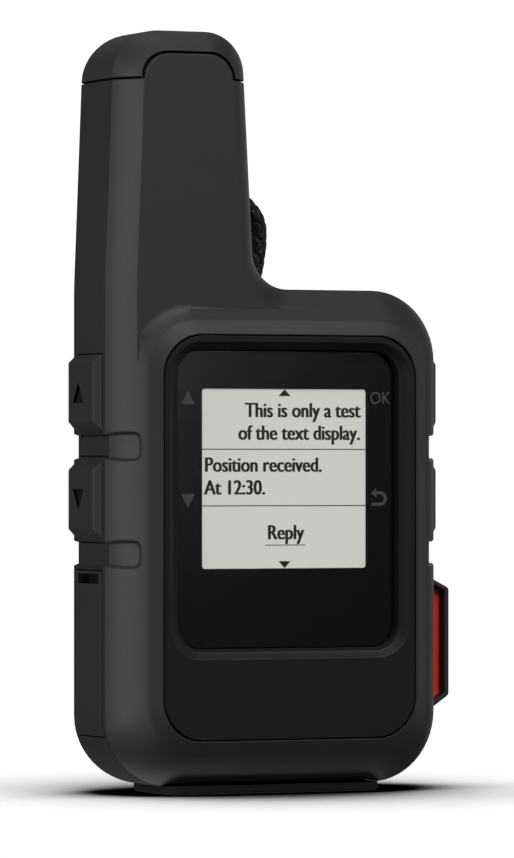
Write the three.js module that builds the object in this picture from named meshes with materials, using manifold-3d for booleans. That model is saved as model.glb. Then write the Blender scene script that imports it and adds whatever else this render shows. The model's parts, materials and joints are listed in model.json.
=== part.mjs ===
// A handheld satellite emergency beacon: a rounded, sealed body with a stubby helical-antenna tower,
// a monochrome display under a recessed lens, two rubber keys on each side, a covered charging port,
// a hinged guard over the emergency button, a power key under the base, and a mounting spine and a
// cord loop on the back.
//
// Frame, in millimetres: +X is the viewer's right, -Y the front (display side), +Z up.
// The origin lies on the face that the beacon stands on, under the middle of the body.
import * as THREE from "three";
import { mergeVertices } from "three/addons/utils/BufferGeometryUtils.js";
import Module from "manifold-3d";

const wasm = await Module();
wasm.setup();

// ---------------------------------------------------------------- driving dimensions

const TOTAL_HEIGHT = 99;
const TOTAL_DEPTH = 26.1;
const HALF_WIDTH = 23.55; // of the body, without keys and guard
const FRONT_Y = -TOTAL_DEPTH / 2;
const REAR_Y = TOTAL_DEPTH / 2;
const FOOT_HEIGHT = 0.9;
const BODY_TOP = 65.65;
const BODY_CORNER = 9;
const BACK_Y = 8.6; // rear face of the shell, under the spine
const WALL = 1.8;
const GAP = 0.15; // clearance round a fitted piece
const SEAM = 0.3; // width of the joint line round the antenna cap
const PARTING = 0.1; // width of the joint line between the two shells

// The side of the shell is flat between these two planes; the front and rear edges are rolled.
const SIDE_FRONT_Y = -6.5;
const SIDE_REAR_Y = 2;

// Front edge: an arc that turns from the side towards the front, then a flat sloping band.
const FRONT_ARC_RADIUS = 13.17;
const FRONT_ARC_START = THREE.MathUtils.degToRad(71); // the surface's angle from the front
const BAND_WIDTH = 1.55;
const BAND_Y = -12.15; // where the arc ends and the band begins
const END_WIDENING = 1.11; // the edge is wider along the top and bottom of the body
const CORNER_TIGHTENING = 0.6; // how fast its corners tighten towards the front
const PANEL_Y = -11.1; // flat front of the antenna tower

// Rear edge: a quarter of an oval.
const REAR_ROLL_INSET = 4.85;

// Antenna tower.
const TOWER_LEFT_TOP = -22.23;
const TOWER_RIGHT_TOP = -4.15;
const TOWER_RIGHT_FOOT = -2.37;
const TOWER_LEFT_CORNER = 6.5;
const TOWER_RIGHT_CORNER = 5.5;
const TOWER_FILLET = 5;
const TOWER_RIGHT_WIDENING = 1.2; // the edge is wider along the tower's right side
const CAP_SEAM_Z = 92.55;
const TONGUE = { left: -19.8, right: -7.2, top: 95.9, corner: 3.4, depth: 1.8 };

// Display window and its surround. Each rectangle is [half width, bottom, top, corner radius].
const SURROUND = [17.8, 7.2, 59.4, 5.5];
const SURROUND_BACK_Y = -9.3;
const RING = [17.1, 17.65, 58.55, 4.8];
const RING_SLOPE = 0.9;
const RING_DROP = 0.6;
const LENS = [15.6, 19.05, 57.5, 3.6];
const LENS_Y = FRONT_Y + 1.15;
const LENS_THICKNESS = 1;
const LEDGE_Y = -10.25; // the lens and its gasket are held in front of this
const LEDGE_WIDTH = 1.3;
const BODY_WALL_Y = -7.9; // inner face of the front wall
const PANEL_HALF_WIDTH = 13.6;
const PANEL_BOTTOM = 23.5;
const PANEL_TOP = 55.5;

// Side keys: heights of the two raised blocks, the same on both sides.
const KEY_FACE_X = 24.6;
const UPPER_KEY = [46.95, 57.05];
const LOWER_KEY = [33.2, 43.2];
const KEY_FRONT_Y = -6.05;
const KEY_REAR_Y = 3.2;
const KEY_SLOPE = 1.15;
const KEY_STEM_INSET = 2.2;
const KEY_INNER_X = 20.6;

// Grooves that run round the side onto the front edge, under each key.
const GROOVE_DEPTH = 0.7;
const UPPER_GROOVE = [43.8, 46.5];
const LOWER_GROOVE = [29.85, 32.7];
const GROOVE_REACH_X = 20.4; // they stop this far from the middle
const GROOVE_REAR_Y = 8.3; // the grooves run on round the rear edge

// Charging port and its cover, on the left side.
const COVER_BOTTOM = 7.6;
const COVER_TOP = 29;
const COVER_FRONT_Y = -5.9;
const COVER_REAR_Y = 3;
const COVER_THICKNESS = 1.1;
const PORT_Z = 20;
const PORT_Y = -3.1;

// Emergency button and its hinged guard, on the right side.
const GUARD_FACE_X = 27.1;
const GUARD_FOOT_X = 24.2;
const GUARD_BOTTOM = 10.2;
const GUARD_TOP = 27.9;
const GUARD_LOWER_SLOPE = 2; // how far its ends lean in
const GUARD_UPPER_SLOPE = 1.5;
const GUARD_FRONT_Y = -4.2;
const GUARD_REAR_Y = 4.9;
const GUARD_WALL = 0.5;
const LINER_FRONT_Y = -2.9;
const LINER_WALL = 0.9;
const HINGE_X = 25.3;
const HINGE_Y = 6.4;
const KNUCKLE_RADIUS = 1.15;
const PIN_RADIUS = 0.5;
const SOS_Z = 19.5;
const SOS_Y = 0.9;
const SOS_RADIUS = 2.5;

// Foot pad and power key.
const FOOT_HALF_WIDTH = 15.4;
const FOOT_FRONT_Y = -8.6;
const FOOT_REAR_Y = 5;
const FOOT_SINK = 0.35; // how far the pad is let into the shell
const POWER_X = 9;
const POWER_Y = -2.2;
const POWER_RADIUS = 2.6;

// Mounting spine, cord eye and cord, on the back.
const SPINE_BOTTOM = 13;
const SPINE_TOP = 56;
const SPINE_NECK_HALF = 5.5;
const SPINE_HEAD_HALF = 8.8;
const SPINE_NECK_DEPTH = 2.1;
const SPINE_SCREW_Z = [18, 46];
const EYE_Z = 60.8;
const EYE_HALF_WIDTH = 2;
const EYE_HALF_GAP = 2.05;
const EYE_BAR_Y = 12.1;
const CORD_RADIUS = 1.2;
const CORD_Y = 10.35;
const CORD_ROUTE = [
  [-9.05, 85.45],
  [-11.2, 82.8],
  [-12.6, 78.5],
  [-12.6, 74],
  [-11.2, 69.5],
  [-8.6, 65.2],
  [-5.6, 62.2],
  [-2.2, 60.6],
  [-0.4, 60.55],
  [1.9, 61.2],
  [3.6, 62.85],
  [4.3, 65],
  [4.85, 67.4],
  [5.4, 70],
  [5.72, 72.8],
  [5.45, 75.3],
  [4, 77.2],
  [1.9, 78.7],
  [0.3, 80.6],
  [-0.9, 83],
  [-2.95, 85.45],
];
const KNOT = { x: -6, y: 10.85, z: 88.5, radius: 3.2, half: 4.1 };

// Fixings.
const CASE_SCREWS = [
  [-14, 8.5],
  [14, 8.5],
  [15.2, 58.6],
  [-15.2, 58.6],
];
const BOSS_RADIUS = 2;
const SCREW_RADIUS = 0.9;

// Inside.
const BOARD_Y = -5.6;
const BOARD_THICKNESS = 1;
const SIDE_BOARD_X = 18.1;
const SIDE_BOARD_THICKNESS = 0.8;
const SWITCH_HEIGHT = 0.95;
const HELIX_X = -12.9;
const HELIX_Y = -1.4;
const HELIX_RADIUS = 6.6;
const HELIX_TURNS = 3;

// ---------------------------------------------------------------- solids from three.js geometry

/** A closed three.js geometry as a solid that can be cut and joined. */
function solid(geometry) {
  const bare = new THREE.BufferGeometry();
  const flat = geometry.index ? geometry.toNonIndexed() : geometry;
  bare.setAttribute("position", flat.getAttribute("position"));
  const merged = mergeVertices(bare, 1e-4);
  return new wasm.Manifold(
    new wasm.Mesh({
      numProp: 3,
      vertProperties: new Float32Array(merged.attributes.position.array),
      triVerts: new Uint32Array(merged.index.array),
    }),
  );
}

/** The geometry of a solid, for a mesh. */
function geometryOf(body) {
  const { vertProperties, triVerts } = body.getMesh();
  const geometry = new THREE.BufferGeometry();
  geometry.setAttribute("position", new THREE.BufferAttribute(vertProperties, 3));
  geometry.setIndex(new THREE.BufferAttribute(triVerts, 1));
  return geometry.toNonIndexed();
}

/** A block between two corners. */
function block(x0, x1, y0, y1, z0, z1) {
  const box = new THREE.BoxGeometry(x1 - x0, y1 - y0, z1 - z0);
  return solid(box.translate((x0 + x1) / 2, (y0 + y1) / 2, (z0 + z1) / 2));
}

/** A cylinder along "x", "y" or "z", from one end to the other. */
function rod(axis, radius, from, to, centre, sides = 20) {
  const rodGeometry = new THREE.CylinderGeometry(radius, radius, to - from, sides);
  const middle = (from + to) / 2;
  if (axis === "x") rodGeometry.rotateZ(Math.PI / 2).translate(middle, centre[0], centre[1]);
  if (axis === "y") rodGeometry.translate(centre[0], middle, centre[1]);
  if (axis === "z") rodGeometry.rotateX(Math.PI / 2).translate(centre[0], centre[1], middle);
  return solid(rodGeometry);
}

/** A turned piece about "y" or "x": profile points are [radius, distance along the axis]. */
function turned(profile, axis, origin, sides = 16) {
  const points = profile.map(([r, a]) => new THREE.Vector2(r, a));
  const lathe = new THREE.LatheGeometry(points, sides);
  if (axis === "x") lathe.rotateZ(-Math.PI / 2);
  return solid(lathe.translate(...origin));
}

/** A shape drawn in X and Y, extruded from z0 to z1. */
function prismXY(points, z0, z1) {
  const shape = new THREE.Shape(points.map(([x, y]) => new THREE.Vector2(x, y)));
  const geometry = new THREE.ExtrudeGeometry(shape, { depth: z1 - z0, bevelEnabled: false });
  return solid(geometry.translate(0, 0, z0));
}

/** A four-sided block that tapers from one rectangle to another along X. Each is [x, y0, y1, z0, z1]. */
function taperX(base, top) {
  const corners = ([x, y0, y1, z0, z1]) => [
    new THREE.Vector3(x, y0, z0),
    new THREE.Vector3(x, y1, z0),
    new THREE.Vector3(x, y1, z1),
    new THREE.Vector3(x, y0, z1),
  ];
  return stack([corners(base), corners(top)]);
}

/** A solid skinned over rings of points that have the same count, with flat ends. */
function stack(rings) {
  const count = rings[0].length;
  const triangles = [];
  const push = (...points) => points.forEach((p) => triangles.push(p.x, p.y, p.z));
  for (let level = 0; level + 1 < rings.length; level++) {
    for (let i = 0; i < count; i++) {
      const j = (i + 1) % count;
      const [a, b] = [rings[level][i], rings[level][j]];
      const [c, d] = [rings[level + 1][j], rings[level + 1][i]];
      push(a, b, c);
      push(a, c, d);
    }
  }
  const ends = [
    [rings[0], true],
    [rings[rings.length - 1], false],
  ];
  for (const [ring, first] of ends) {
    const flat = flatten(ring);
    const inOrder = THREE.ShapeUtils.isClockWise(flat) ? -1 : 1;
    for (const [i, j, k] of THREE.ShapeUtils.triangulateShape(flat, [])) {
      const area = new THREE.Vector2().subVectors(flat[j], flat[i]).cross(
        new THREE.Vector2().subVectors(flat[k], flat[i]),
      );
      const sameWay = Math.sign(area) === inOrder;
      if (sameWay !== first) push(ring[i], ring[j], ring[k]);
      else push(ring[i], ring[k], ring[j]);
    }
  }
  const geometry = new THREE.BufferGeometry();
  geometry.setAttribute("position", new THREE.Float32BufferAttribute(triangles, 3));
  const made = solid(geometry);
  return made.volume() > 0 ? made : turnedInsideOut(geometry);
}

/** The same triangles, wound the other way. */
function turnedInsideOut(geometry) {
  const p = geometry.getAttribute("position");
  const swapped = [];
  for (let i = 0; i < p.count; i += 3)
    for (const k of [i, i + 2, i + 1]) swapped.push(p.getX(k), p.getY(k), p.getZ(k));
  const turnedRound = new THREE.BufferGeometry();
  turnedRound.setAttribute("position", new THREE.Float32BufferAttribute(swapped, 3));
  return solid(turnedRound);
}

/** A flat ring's points in the two directions in which it extends. */
function flatten(ring) {
  const spread = (key) =>
    Math.max(...ring.map((p) => p[key])) - Math.min(...ring.map((p) => p[key]));
  if (spread("y") < 1e-6) return ring.map((p) => new THREE.Vector2(p.x, p.z));
  if (spread("x") < 1e-6) return ring.map((p) => new THREE.Vector2(p.y, p.z));
  return ring.map((p) => new THREE.Vector2(p.x, p.y));
}

// ---------------------------------------------------------------- outlines

const END = END_WIDENING;
const TIGHTEN = -CORNER_TIGHTENING;

// An outline, anticlockwise in X and Z. Each corner is [x, z, radius, change of radius per mm drawn
// in, widening of the side that follows it].
const WHOLE = [
  [-HALF_WIDTH, FOOT_HEIGHT, BODY_CORNER, TIGHTEN, END],
  [HALF_WIDTH, FOOT_HEIGHT, BODY_CORNER, TIGHTEN, 1],
  [HALF_WIDTH, BODY_TOP, BODY_CORNER, TIGHTEN, END],
  [TOWER_RIGHT_FOOT, BODY_TOP, TOWER_FILLET, 0.5, TOWER_RIGHT_WIDENING],
  [TOWER_RIGHT_TOP, TOTAL_HEIGHT, TOWER_RIGHT_CORNER, TIGHTEN, 1],
  [TOWER_LEFT_TOP, TOTAL_HEIGHT, TOWER_LEFT_CORNER, TIGHTEN, 1],
  [-HALF_WIDTH, BODY_TOP, 40, 0, 1],
];
const BODY_ONLY = [
  [-HALF_WIDTH, FOOT_HEIGHT, BODY_CORNER, TIGHTEN, END],
  [HALF_WIDTH, FOOT_HEIGHT, BODY_CORNER, TIGHTEN, 1],
  [HALF_WIDTH, BODY_TOP, BODY_CORNER, TIGHTEN, END],
  [-HALF_WIDTH, BODY_TOP, BODY_CORNER, TIGHTEN, 1],
];

/** The corners of a rounded rectangle that is centred on X = 0. */
function rectangle([half, bottom, top, radius]) {
  return [
    [-half, bottom, radius, 0, 1],
    [half, bottom, radius, 0, 1],
    [half, top, radius, 0, 1],
    [-half, top, radius, 0, 1],
  ];
}

/** The corners of an outline drawn in by `inset`, widened side by side, and then by `extra`. */
function drawnIn(corners, inset, extra) {
  const count = corners.length;
  const lines = corners.map(([x, z, , , widening], i) => {
    const [nextX, nextZ] = corners[(i + 1) % count];
    const along = new THREE.Vector2(nextX - x, nextZ - z).normalize();
    const inward = new THREE.Vector2(-along.y, along.x);
    const start = new THREE.Vector2(x, z).addScaledVector(inward, inset * widening + extra);
    return { start, along };
  });
  return corners.map(([, , radius, change], i) => {
    const before = lines[(i + count - 1) % count];
    const after = lines[i];
    const bend = before.along.cross(after.along);
    const way = new THREE.Vector2().subVectors(after.start, before.start).cross(after.along) / bend;
    const at = before.start.clone().addScaledVector(before.along, way);
    const drawn = radius + change * inset - Math.sign(bend) * extra;
    return { at, radius: Math.max(0.4, drawn) };
  });
}

/** The outline's ring at depth y, drawn in, with each corner rounded in the same number of steps. */
function ringAt(corners, y, inset, extra = 0, steps = 6) {
  const sharp = drawnIn(corners, inset, extra);
  const ring = [];
  sharp.forEach(({ at, radius }, i) => {
    const back = sharp[(i + sharp.length - 1) % sharp.length].at.clone().sub(at).normalize();
    const ahead = sharp[(i + 1) % sharp.length].at.clone().sub(at).normalize();
    const turn = Math.sign(ahead.cross(back));
    const half = Math.acos(THREE.MathUtils.clamp(back.dot(ahead), -1, 1)) / 2;
    const toCentre = back.clone().add(ahead).setLength(radius / Math.sin(half));
    const centre = at.clone().add(toCentre);
    const inward = new THREE.Vector2(back.y, -back.x);
    const sweep = Math.PI - 2 * half;
    const count = Math.max(1, Math.round((steps * sweep) / (Math.PI / 2)));
    for (let k = 0; k <= count; k++) {
      const spoke = inward.clone().rotateAround(new THREE.Vector2(), (turn * sweep * k) / count);
      const p = centre.clone().addScaledVector(spoke, -radius * turn);
      ring.push(new THREE.Vector3(p.x, y, p.y));
    }
  });
  return ring;
}

/** A plate with that outline, from y0 to y1, drawn in by a distance. */
function plate(corners, y0, y1, extra = 0) {
  return stack([ringAt(corners, y0, 0, extra), ringAt(corners, y1, 0, extra)]);
}

/** A solid that follows an outline down a list of [y, inset]. */
function rolled(corners, profile, extra = 0) {
  return stack(profile.map(([y, inset]) => ringAt(corners, y, inset, extra)));
}

/** A solid that follows an outline down a list of [y, inset], drawn in evenly on every side. */
function rolledEvenly(corners, profile, extra = 0) {
  return stack(profile.map(([y, inset]) => ringAt(corners, y, 0, inset + extra)));
}

// ---------------------------------------------------------------- the outer form

/** How far the front edge is drawn in at depth y. */
function frontInset(y) {
  const a = Math.acos(Math.cos(FRONT_ARC_START) + (SIDE_FRONT_Y - y) / FRONT_ARC_RADIUS);
  return FRONT_ARC_RADIUS * (Math.sin(FRONT_ARC_START) - Math.sin(a));
}

/** Points [y, inset] along the front edge, from the side to depth y. */
function frontEdge(y, steps) {
  const points = [];
  for (let k = 0; k <= steps; k++) {
    const depth = SIDE_FRONT_Y + ((y - SIDE_FRONT_Y) * k) / steps;
    points.push([depth, frontInset(depth)]);
  }
  return points;
}

/** Points [y, inset] round the rear edge, from the side to the back. */
function rearEdge(steps) {
  const points = [];
  for (let k = 0; k <= steps; k++) {
    const a = ((Math.PI / 2) * k) / steps;
    const y = SIDE_REAR_Y + (BACK_Y - SIDE_REAR_Y) * Math.sin(a);
    points.push([y, REAR_ROLL_INSET * (1 - Math.cos(a))]);
  }
  return points;
}

const BAND_INSET = frontInset(BAND_Y);
const PARTING_PLANE = SIDE_FRONT_Y;

/** The outer form in front of the parting plane, drawn in by an extra distance. */
function frontForm(extra = 0) {
  const tower = rolled(WHOLE, frontEdge(PANEL_Y, 4), extra);
  const face = rolled(
    BODY_ONLY,
    [
      [PANEL_Y + 1, frontInset(PANEL_Y + 1)],
      [PANEL_Y, frontInset(PANEL_Y)],
      [BAND_Y, BAND_INSET],
      [FRONT_Y, BAND_INSET + BAND_WIDTH],
    ],
    extra,
  );
  return tower.add(face);
}

/** The outer form behind the parting plane. */
function rearForm(extra = 0) {
  return rolledEvenly(WHOLE, [[PARTING_PLANE, 0], ...rearEdge(4)], extra);
}

/** The whole outer form, drawn in by an extra distance. */
function wholeForm(extra = 0) {
  return frontForm(extra).add(rearForm(extra));
}

/** The hollow inside both shells and the cap. */
function hollow() {
  const towerFront = rolled(
    WHOLE,
    [
      [PARTING_PLANE, 0],
      [PANEL_Y + WALL, frontInset(PANEL_Y + WALL)],
    ],
    WALL,
  ).intersect(block(-30, 5, -20, 0, BODY_TOP - WALL - 1, 110));
  const bodyFront = rolled(
    BODY_ONLY,
    [
      [PARTING_PLANE, 0],
      [BODY_WALL_Y, frontInset(BODY_WALL_Y)],
    ],
    WALL,
  );
  const rear = rolledEvenly(
    WHOLE,
    [
      [PARTING_PLANE, 0],
      [SIDE_REAR_Y, 0],
      [SIDE_REAR_Y + 2.2, 0.9],
      [BACK_Y - WALL, REAR_ROLL_INSET - 2],
    ],
    WALL,
  );
  return towerFront.add(bodyFront).add(rear);
}

/** The space of the antenna cap: all above the seam, less the tongue of the front shell. */
function capSpace(grow) {
  const above = block(-30, 10, -20, 20, CAP_SEAM_Z - grow, 110);
  const tongue = [
    [TONGUE.left + grow, 80, 1, 0, 1],
    [TONGUE.right - grow, 80, 1, 0, 1],
    [TONGUE.right - grow, TONGUE.top - grow, TONGUE.corner, 0, 1],
    [TONGUE.left + grow, TONGUE.top - grow, TONGUE.corner, 0, 1],
  ];
  return above.subtract(plate(tongue, -20, PANEL_Y + TONGUE.depth - grow));
}

// ---------------------------------------------------------------- the case

/** The recesses for the keys on one side, and the grooves between them. side is -1 or 1. */
function keyRecesses(side) {
  const wide = (x0, x1, ...rest) => (side < 0 ? block(-x1, -x0, ...rest) : block(x0, x1, ...rest));
  const pocket = wide(20, 30, KEY_FRONT_Y - GAP, KEY_REAR_Y + GAP, LOWER_GROOVE[0], UPPER_KEY[1] + GAP);
  const grooves = [UPPER_GROOVE, LOWER_GROOVE].map(([bottom, top]) =>
    wide(GROOVE_REACH_X, 30, -20, GROOVE_REAR_Y, bottom, top),
  );
  const outside = pocket.add(grooves[0]).add(grooves[1]).subtract(wholeForm(GROOVE_DEPTH));
  const stems = [UPPER_KEY, LOWER_KEY].map(([bottom, top]) => {
    const inset = KEY_STEM_INSET - GAP;
    return wide(21, 23, KEY_FRONT_Y + inset, KEY_REAR_Y - inset + 0.6, bottom + inset, top - inset);
  });
  return outside.add(stems[0]).add(stems[1]);
}

/** The recess for the port cover, and the port's hole. */
function portRecess() {
  const around = block(
    -30, -19, COVER_FRONT_Y - GAP, COVER_REAR_Y + GAP, COVER_BOTTOM - GAP, COVER_TOP + GAP,
  );
  const recess = around.subtract(wholeForm(COVER_THICKNESS + GAP));
  const hole = block(-24, -21, PORT_Y - 1.6, PORT_Y + 1.6, PORT_Z - 4.2, PORT_Z + 4.2);
  return recess.add(hole);
}

/** The hole in the right wall behind the emergency button. */
function emergencyHole() {
  return rod("x", SOS_RADIUS + 1.1, 20, 25, [SOS_Y, SOS_Z], 24);
}

/** The recess for the foot pad, and the power key's hole. */
function footRecess() {
  const recess = block(
    -FOOT_HALF_WIDTH - GAP, FOOT_HALF_WIDTH + GAP, FOOT_FRONT_Y - GAP, FOOT_REAR_Y + GAP,
    -1, FOOT_HEIGHT + FOOT_SINK,
  );
  return recess.add(rod("z", 1.6, 0, 5, [POWER_X, POWER_Y], 16));
}

/** The front shell. */
function makeFrontHousing() {
  let body = frontForm().subtract(hollow());
  for (const [x, z] of CASE_SCREWS) {
    body = body.add(rod("y", BOSS_RADIUS, PANEL_Y + 2.5, PARTING_PLANE, [x, z], 16));
  }
  body = body.subtract(plate(rectangle(SURROUND), -20, SURROUND_BACK_Y + GAP, -GAP));
  const opening = LENS.map((v, i) => v + [-0.6, 0.6, -0.7, -1][i]);
  body = body.subtract(plate(rectangle(opening), -20, -6));
  for (const [x, z] of CASE_SCREWS) {
    body = body.subtract(rod("y", SCREW_RADIUS + GAP, -8.4, 0, [x, z], 12));
  }
  body = body.subtract(gasketRing(0.05));
  body = body.subtract(keyRecesses(-1)).subtract(keyRecesses(1)).subtract(footRecess());
  body = body.subtract(block(-30, 30, PARTING_PLANE - PARTING / 2, 0, -5, 110));
  return body.subtract(capSpace(SEAM / 2));
}

/** The rear shell, with the screw bosses. */
function makeRearHousing() {
  let body = rearForm().subtract(hollow());
  for (const [x, z] of CASE_SCREWS) {
    body = body.add(rod("y", BOSS_RADIUS, PARTING_PLANE, BACK_Y - 1, [x, z], 16));
  }
  for (const [x, z] of CASE_SCREWS) {
    body = body.subtract(rod("y", SCREW_RADIUS + GAP, -10, 10, [x, z], 12));
    body = body.subtract(rod("y", 1.95, BACK_Y - 1.5, 10, [x, z], 16));
  }
  for (const z of SPINE_SCREW_Z) body = body.subtract(rod("y", 0.95, 5, 10, [0, z], 12));
  body = body.subtract(gasketRing(0.05));
  body = body.subtract(keyRecesses(-1)).subtract(keyRecesses(1)).subtract(footRecess());
  body = body.subtract(portRecess()).subtract(emergencyHole());
  body = body.subtract(block(-30, 30, -20, PARTING_PLANE + PARTING / 2, -5, 110));
  return body.subtract(capSpace(SEAM / 2));
}

/** The separate top of the antenna tower. */
function makeAntennaCap() {
  return wholeForm().subtract(hollow()).intersect(capSpace(-SEAM / 2));
}

/** The seal between the shells, or the groove for it when it is grown. */
function gasketRing(grow) {
  const y0 = PARTING_PLANE - 0.45 - grow;
  const y1 = PARTING_PLANE + 0.45 + grow;
  const ring = plate(WHOLE, y0, y1, 0.95 - grow).subtract(plate(WHOLE, y0 - 1, y1 + 1, 1.4 + grow));
  return ring.subtract(block(-30, 30, -20, 20, CAP_SEAM_Z - 1 + grow, 110));
}

/** A self-tapping screw along Y: its head is at the rear. */
function screw(x, z, headY, length, headRadius, radius) {
  const head = rod("y", headRadius, headY - 1, headY, [x, z], 16);
  const shank = rod("y", radius, headY - length, headY - 0.5, [x, z], 10);
  const slot = block(x - headRadius, x + headRadius, headY - 0.4, headY + 1, z - 0.25, z + 0.25);
  return head.add(shank).subtract(slot);
}

// ---------------------------------------------------------------- the display

/** The black surround, with the sloped step down to the lens and the ledge that it lies on. */
function makeDisplaySurround() {
  const body = plate(rectangle(SURROUND), FRONT_Y, SURROUND_BACK_Y);
  const step = stack([
    ringAt(rectangle(RING), FRONT_Y - 0.3, 0, (-RING_SLOPE * 0.3) / RING_DROP),
    ringAt(rectangle(RING), FRONT_Y + RING_DROP, 0, RING_SLOPE),
  ]);
  const pocket = plate(rectangle(LENS), -20, LEDGE_Y, -GAP);
  const window = plate(rectangle(LENS), -20, 0, LEDGE_WIDTH);
  return body.subtract(step).subtract(pocket).subtract(window);
}

/** The clear lens, with a narrow bevel round its front. */
function makeDisplayLens() {
  return stack([
    ringAt(rectangle(LENS), LENS_Y, 0, 0.35),
    ringAt(rectangle(LENS), LENS_Y + 0.25, 0, 0),
    ringAt(rectangle(LENS), LENS_Y + LENS_THICKNESS, 0, 0),
  ]);
}

/** The seal under the lens. */
function makeLensGasket() {
  const y0 = LENS_Y + LENS_THICKNESS + 0.15;
  const y1 = LEDGE_Y - 0.12;
  const outer = plate(rectangle(LENS), y0, y1, 0.25);
  return outer.subtract(plate(rectangle(LENS), y0 - 1, y1 + 1, LEDGE_WIDTH - 0.1));
}

/** The glass of the display. */
function makeDisplayPanel() {
  return block(-PANEL_HALF_WIDTH, PANEL_HALF_WIDTH, -10.6, -9, PANEL_BOTTOM, PANEL_TOP);
}

/** The tray that holds the display glass and its light. */
function makeDisplayTray() {
  const tray = block(-14.2, 14.2, -8.8, -6.2, 22.6, 56);
  return tray.subtract(block(-12.6, 12.6, -9, -7.4, 24.5, 54.2));
}

/** The flat cable from the display to the board. */
function makeDisplayFlex() {
  return prismYZ(
    [
      [-9.6, 23.2],
      [-9.6, 21.4],
      [-5.9, 20.6],
      [-5.9, 20.9],
      [-9.25, 21.7],
      [-9.25, 23.2],
    ],
    -4,
    4,
  );
}

/** A shape drawn in Y and Z, extruded from x0 to x1. */
function prismYZ(points, x0, x1) {
  const shape = new THREE.Shape(points.map(([y, z]) => new THREE.Vector2(y, z)));
  const geometry = new THREE.ExtrudeGeometry(shape, { depth: x1 - x0, bevelEnabled: false });
  geometry.rotateX(Math.PI / 2).rotateZ(Math.PI / 2);
  return solid(geometry.translate(x0, 0, 0));
}

// ---------------------------------------------------------------- the keys

/** A side key, drawn for the left side: a sloped block, a stem through the wall and a flange. */
function makeSideKey(side, [bottom, top]) {
  const x = (value) => side * value;
  const base = HALF_WIDTH - 0.05;
  const head = taperX(
    [x(base), KEY_FRONT_Y, KEY_REAR_Y, bottom, top],
    [x(KEY_FACE_X), KEY_FRONT_Y + 1.1, KEY_REAR_Y - 0.4, bottom + KEY_SLOPE, top - KEY_SLOPE],
  );
  const span = (x0, x1) => [Math.min(x(x0), x(x1)), Math.max(x(x0), x(x1))];
  const s = KEY_STEM_INSET;
  const stem = block(
    ...span(base + 0.2, KEY_INNER_X + 0.3), KEY_FRONT_Y + s, KEY_REAR_Y - s + 0.6, bottom + s, top - s,
  );
  const flange = block(
    ...span(KEY_INNER_X, KEY_INNER_X + 0.7), KEY_FRONT_Y + s - 0.7, KEY_REAR_Y - s + 1.3,
    bottom + s - 0.7, top - s + 0.7,
  );
  return head.add(stem).add(flange);
}

/** An arrow cut into a key's face: way is 1 for up, -1 for down. */
function arrowCut(z, way) {
  return prismYZ(
    [
      [-1.9, z - 1.2 * way],
      [1.3, z - 1.2 * way],
      [-0.3, z + 1.4 * way],
    ],
    -26,
    -KEY_FACE_X + 0.3,
  );
}

// ---------------------------------------------------------------- the port

/** The rubber cover of the port, hinged at its lower end, with its plug and finger notch. */
function makePortCover() {
  const band = block(-30, -19, COVER_FRONT_Y, COVER_REAR_Y, COVER_BOTTOM, COVER_TOP);
  const flap = band.intersect(rearForm()).subtract(rearForm(COVER_THICKNESS));
  const plug = block(-22.6, -20.7, PORT_Y - 0.7, PORT_Y + 0.7, PORT_Z - 2.9, PORT_Z + 2.9);
  const notch = block(-25, -22.75, -4.6, 2.4, 27.4, 30);
  return flap.add(plug).subtract(notch);
}

/** The charging port. */
function makePort() {
  const shell = block(-21.9, -16.6, PORT_Y - 1.35, PORT_Y + 1.35, PORT_Z - 3.8, PORT_Z + 3.8);
  return shell.subtract(
    block(-23, -19, PORT_Y - 0.95, PORT_Y + 0.95, PORT_Z - 3.4, PORT_Z + 3.4),
  );
}

// ---------------------------------------------------------------- the emergency button

/** The frame round the button, with the fixed hinge knuckles. */
function makeSosBase() {
  let body = block(23.67, 24.05, -3.7, 4.6, GUARD_BOTTOM - 0.1, GUARD_TOP + 0.1);
  body = body.add(rod("x", SOS_RADIUS + 0.95, 21.3, 23.8, [SOS_Y, SOS_Z], 24));
  for (const [z0, z1] of [
    [GUARD_BOTTOM, 13.8],
    [24.8, GUARD_TOP],
  ]) {
    const arm = prismXY(
      [
        [22.7, 4.4],
        [24, 4.4],
        [24, 5.25],
        [24.7, 5.35],
        [HINGE_X, HINGE_Y],
        [24.7, 7.4],
        [22.2, 7.2],
      ],
      z0,
      z1,
    );
    body = body.add(arm).add(rod("z", KNUCKLE_RADIUS, z0, z1, [HINGE_X, HINGE_Y], 16));
  }
  body = body.subtract(rearForm(-0.12).subtract(emergencyHole()));
  body = body.subtract(rod("x", SOS_RADIUS + GAP, 22.4, 25, [SOS_Y, SOS_Z], 24));
  body = body.subtract(rod("x", 1.45, 20, 25, [SOS_Y, SOS_Z], 16));
  return body.subtract(rod("z", PIN_RADIUS + 0.12, 0, 40, [HINGE_X, HINGE_Y], 12));
}

/** The red emergency button, with its stem. */
function makeSosButton() {
  return turned(
    [
      [0, 20.85],
      [1.25, 20.85],
      [1.25, 23.3],
      [SOS_RADIUS, 23.3],
      [SOS_RADIUS, 24.9],
      [SOS_RADIUS - 0.4, 25.25],
      [0, 25.25],
    ],
    "x",
    [0, SOS_Y, SOS_Z],
    24,
  );
}

/** A block between x0 and x1 with the guard's leaning ends, drawn in by an inset. */
function guardShape(inset, y0, y1, x0, x1) {
  const sectionAt = (x) => {
    const share = (x - GUARD_FOOT_X) / (GUARD_FACE_X - GUARD_FOOT_X);
    const low = GUARD_BOTTOM + GUARD_LOWER_SLOPE * share + inset;
    return [x, y0, y1, low, GUARD_TOP - GUARD_UPPER_SLOPE * share - inset];
  };
  return taperX(sectionAt(x0), sectionAt(x1));
}

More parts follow.
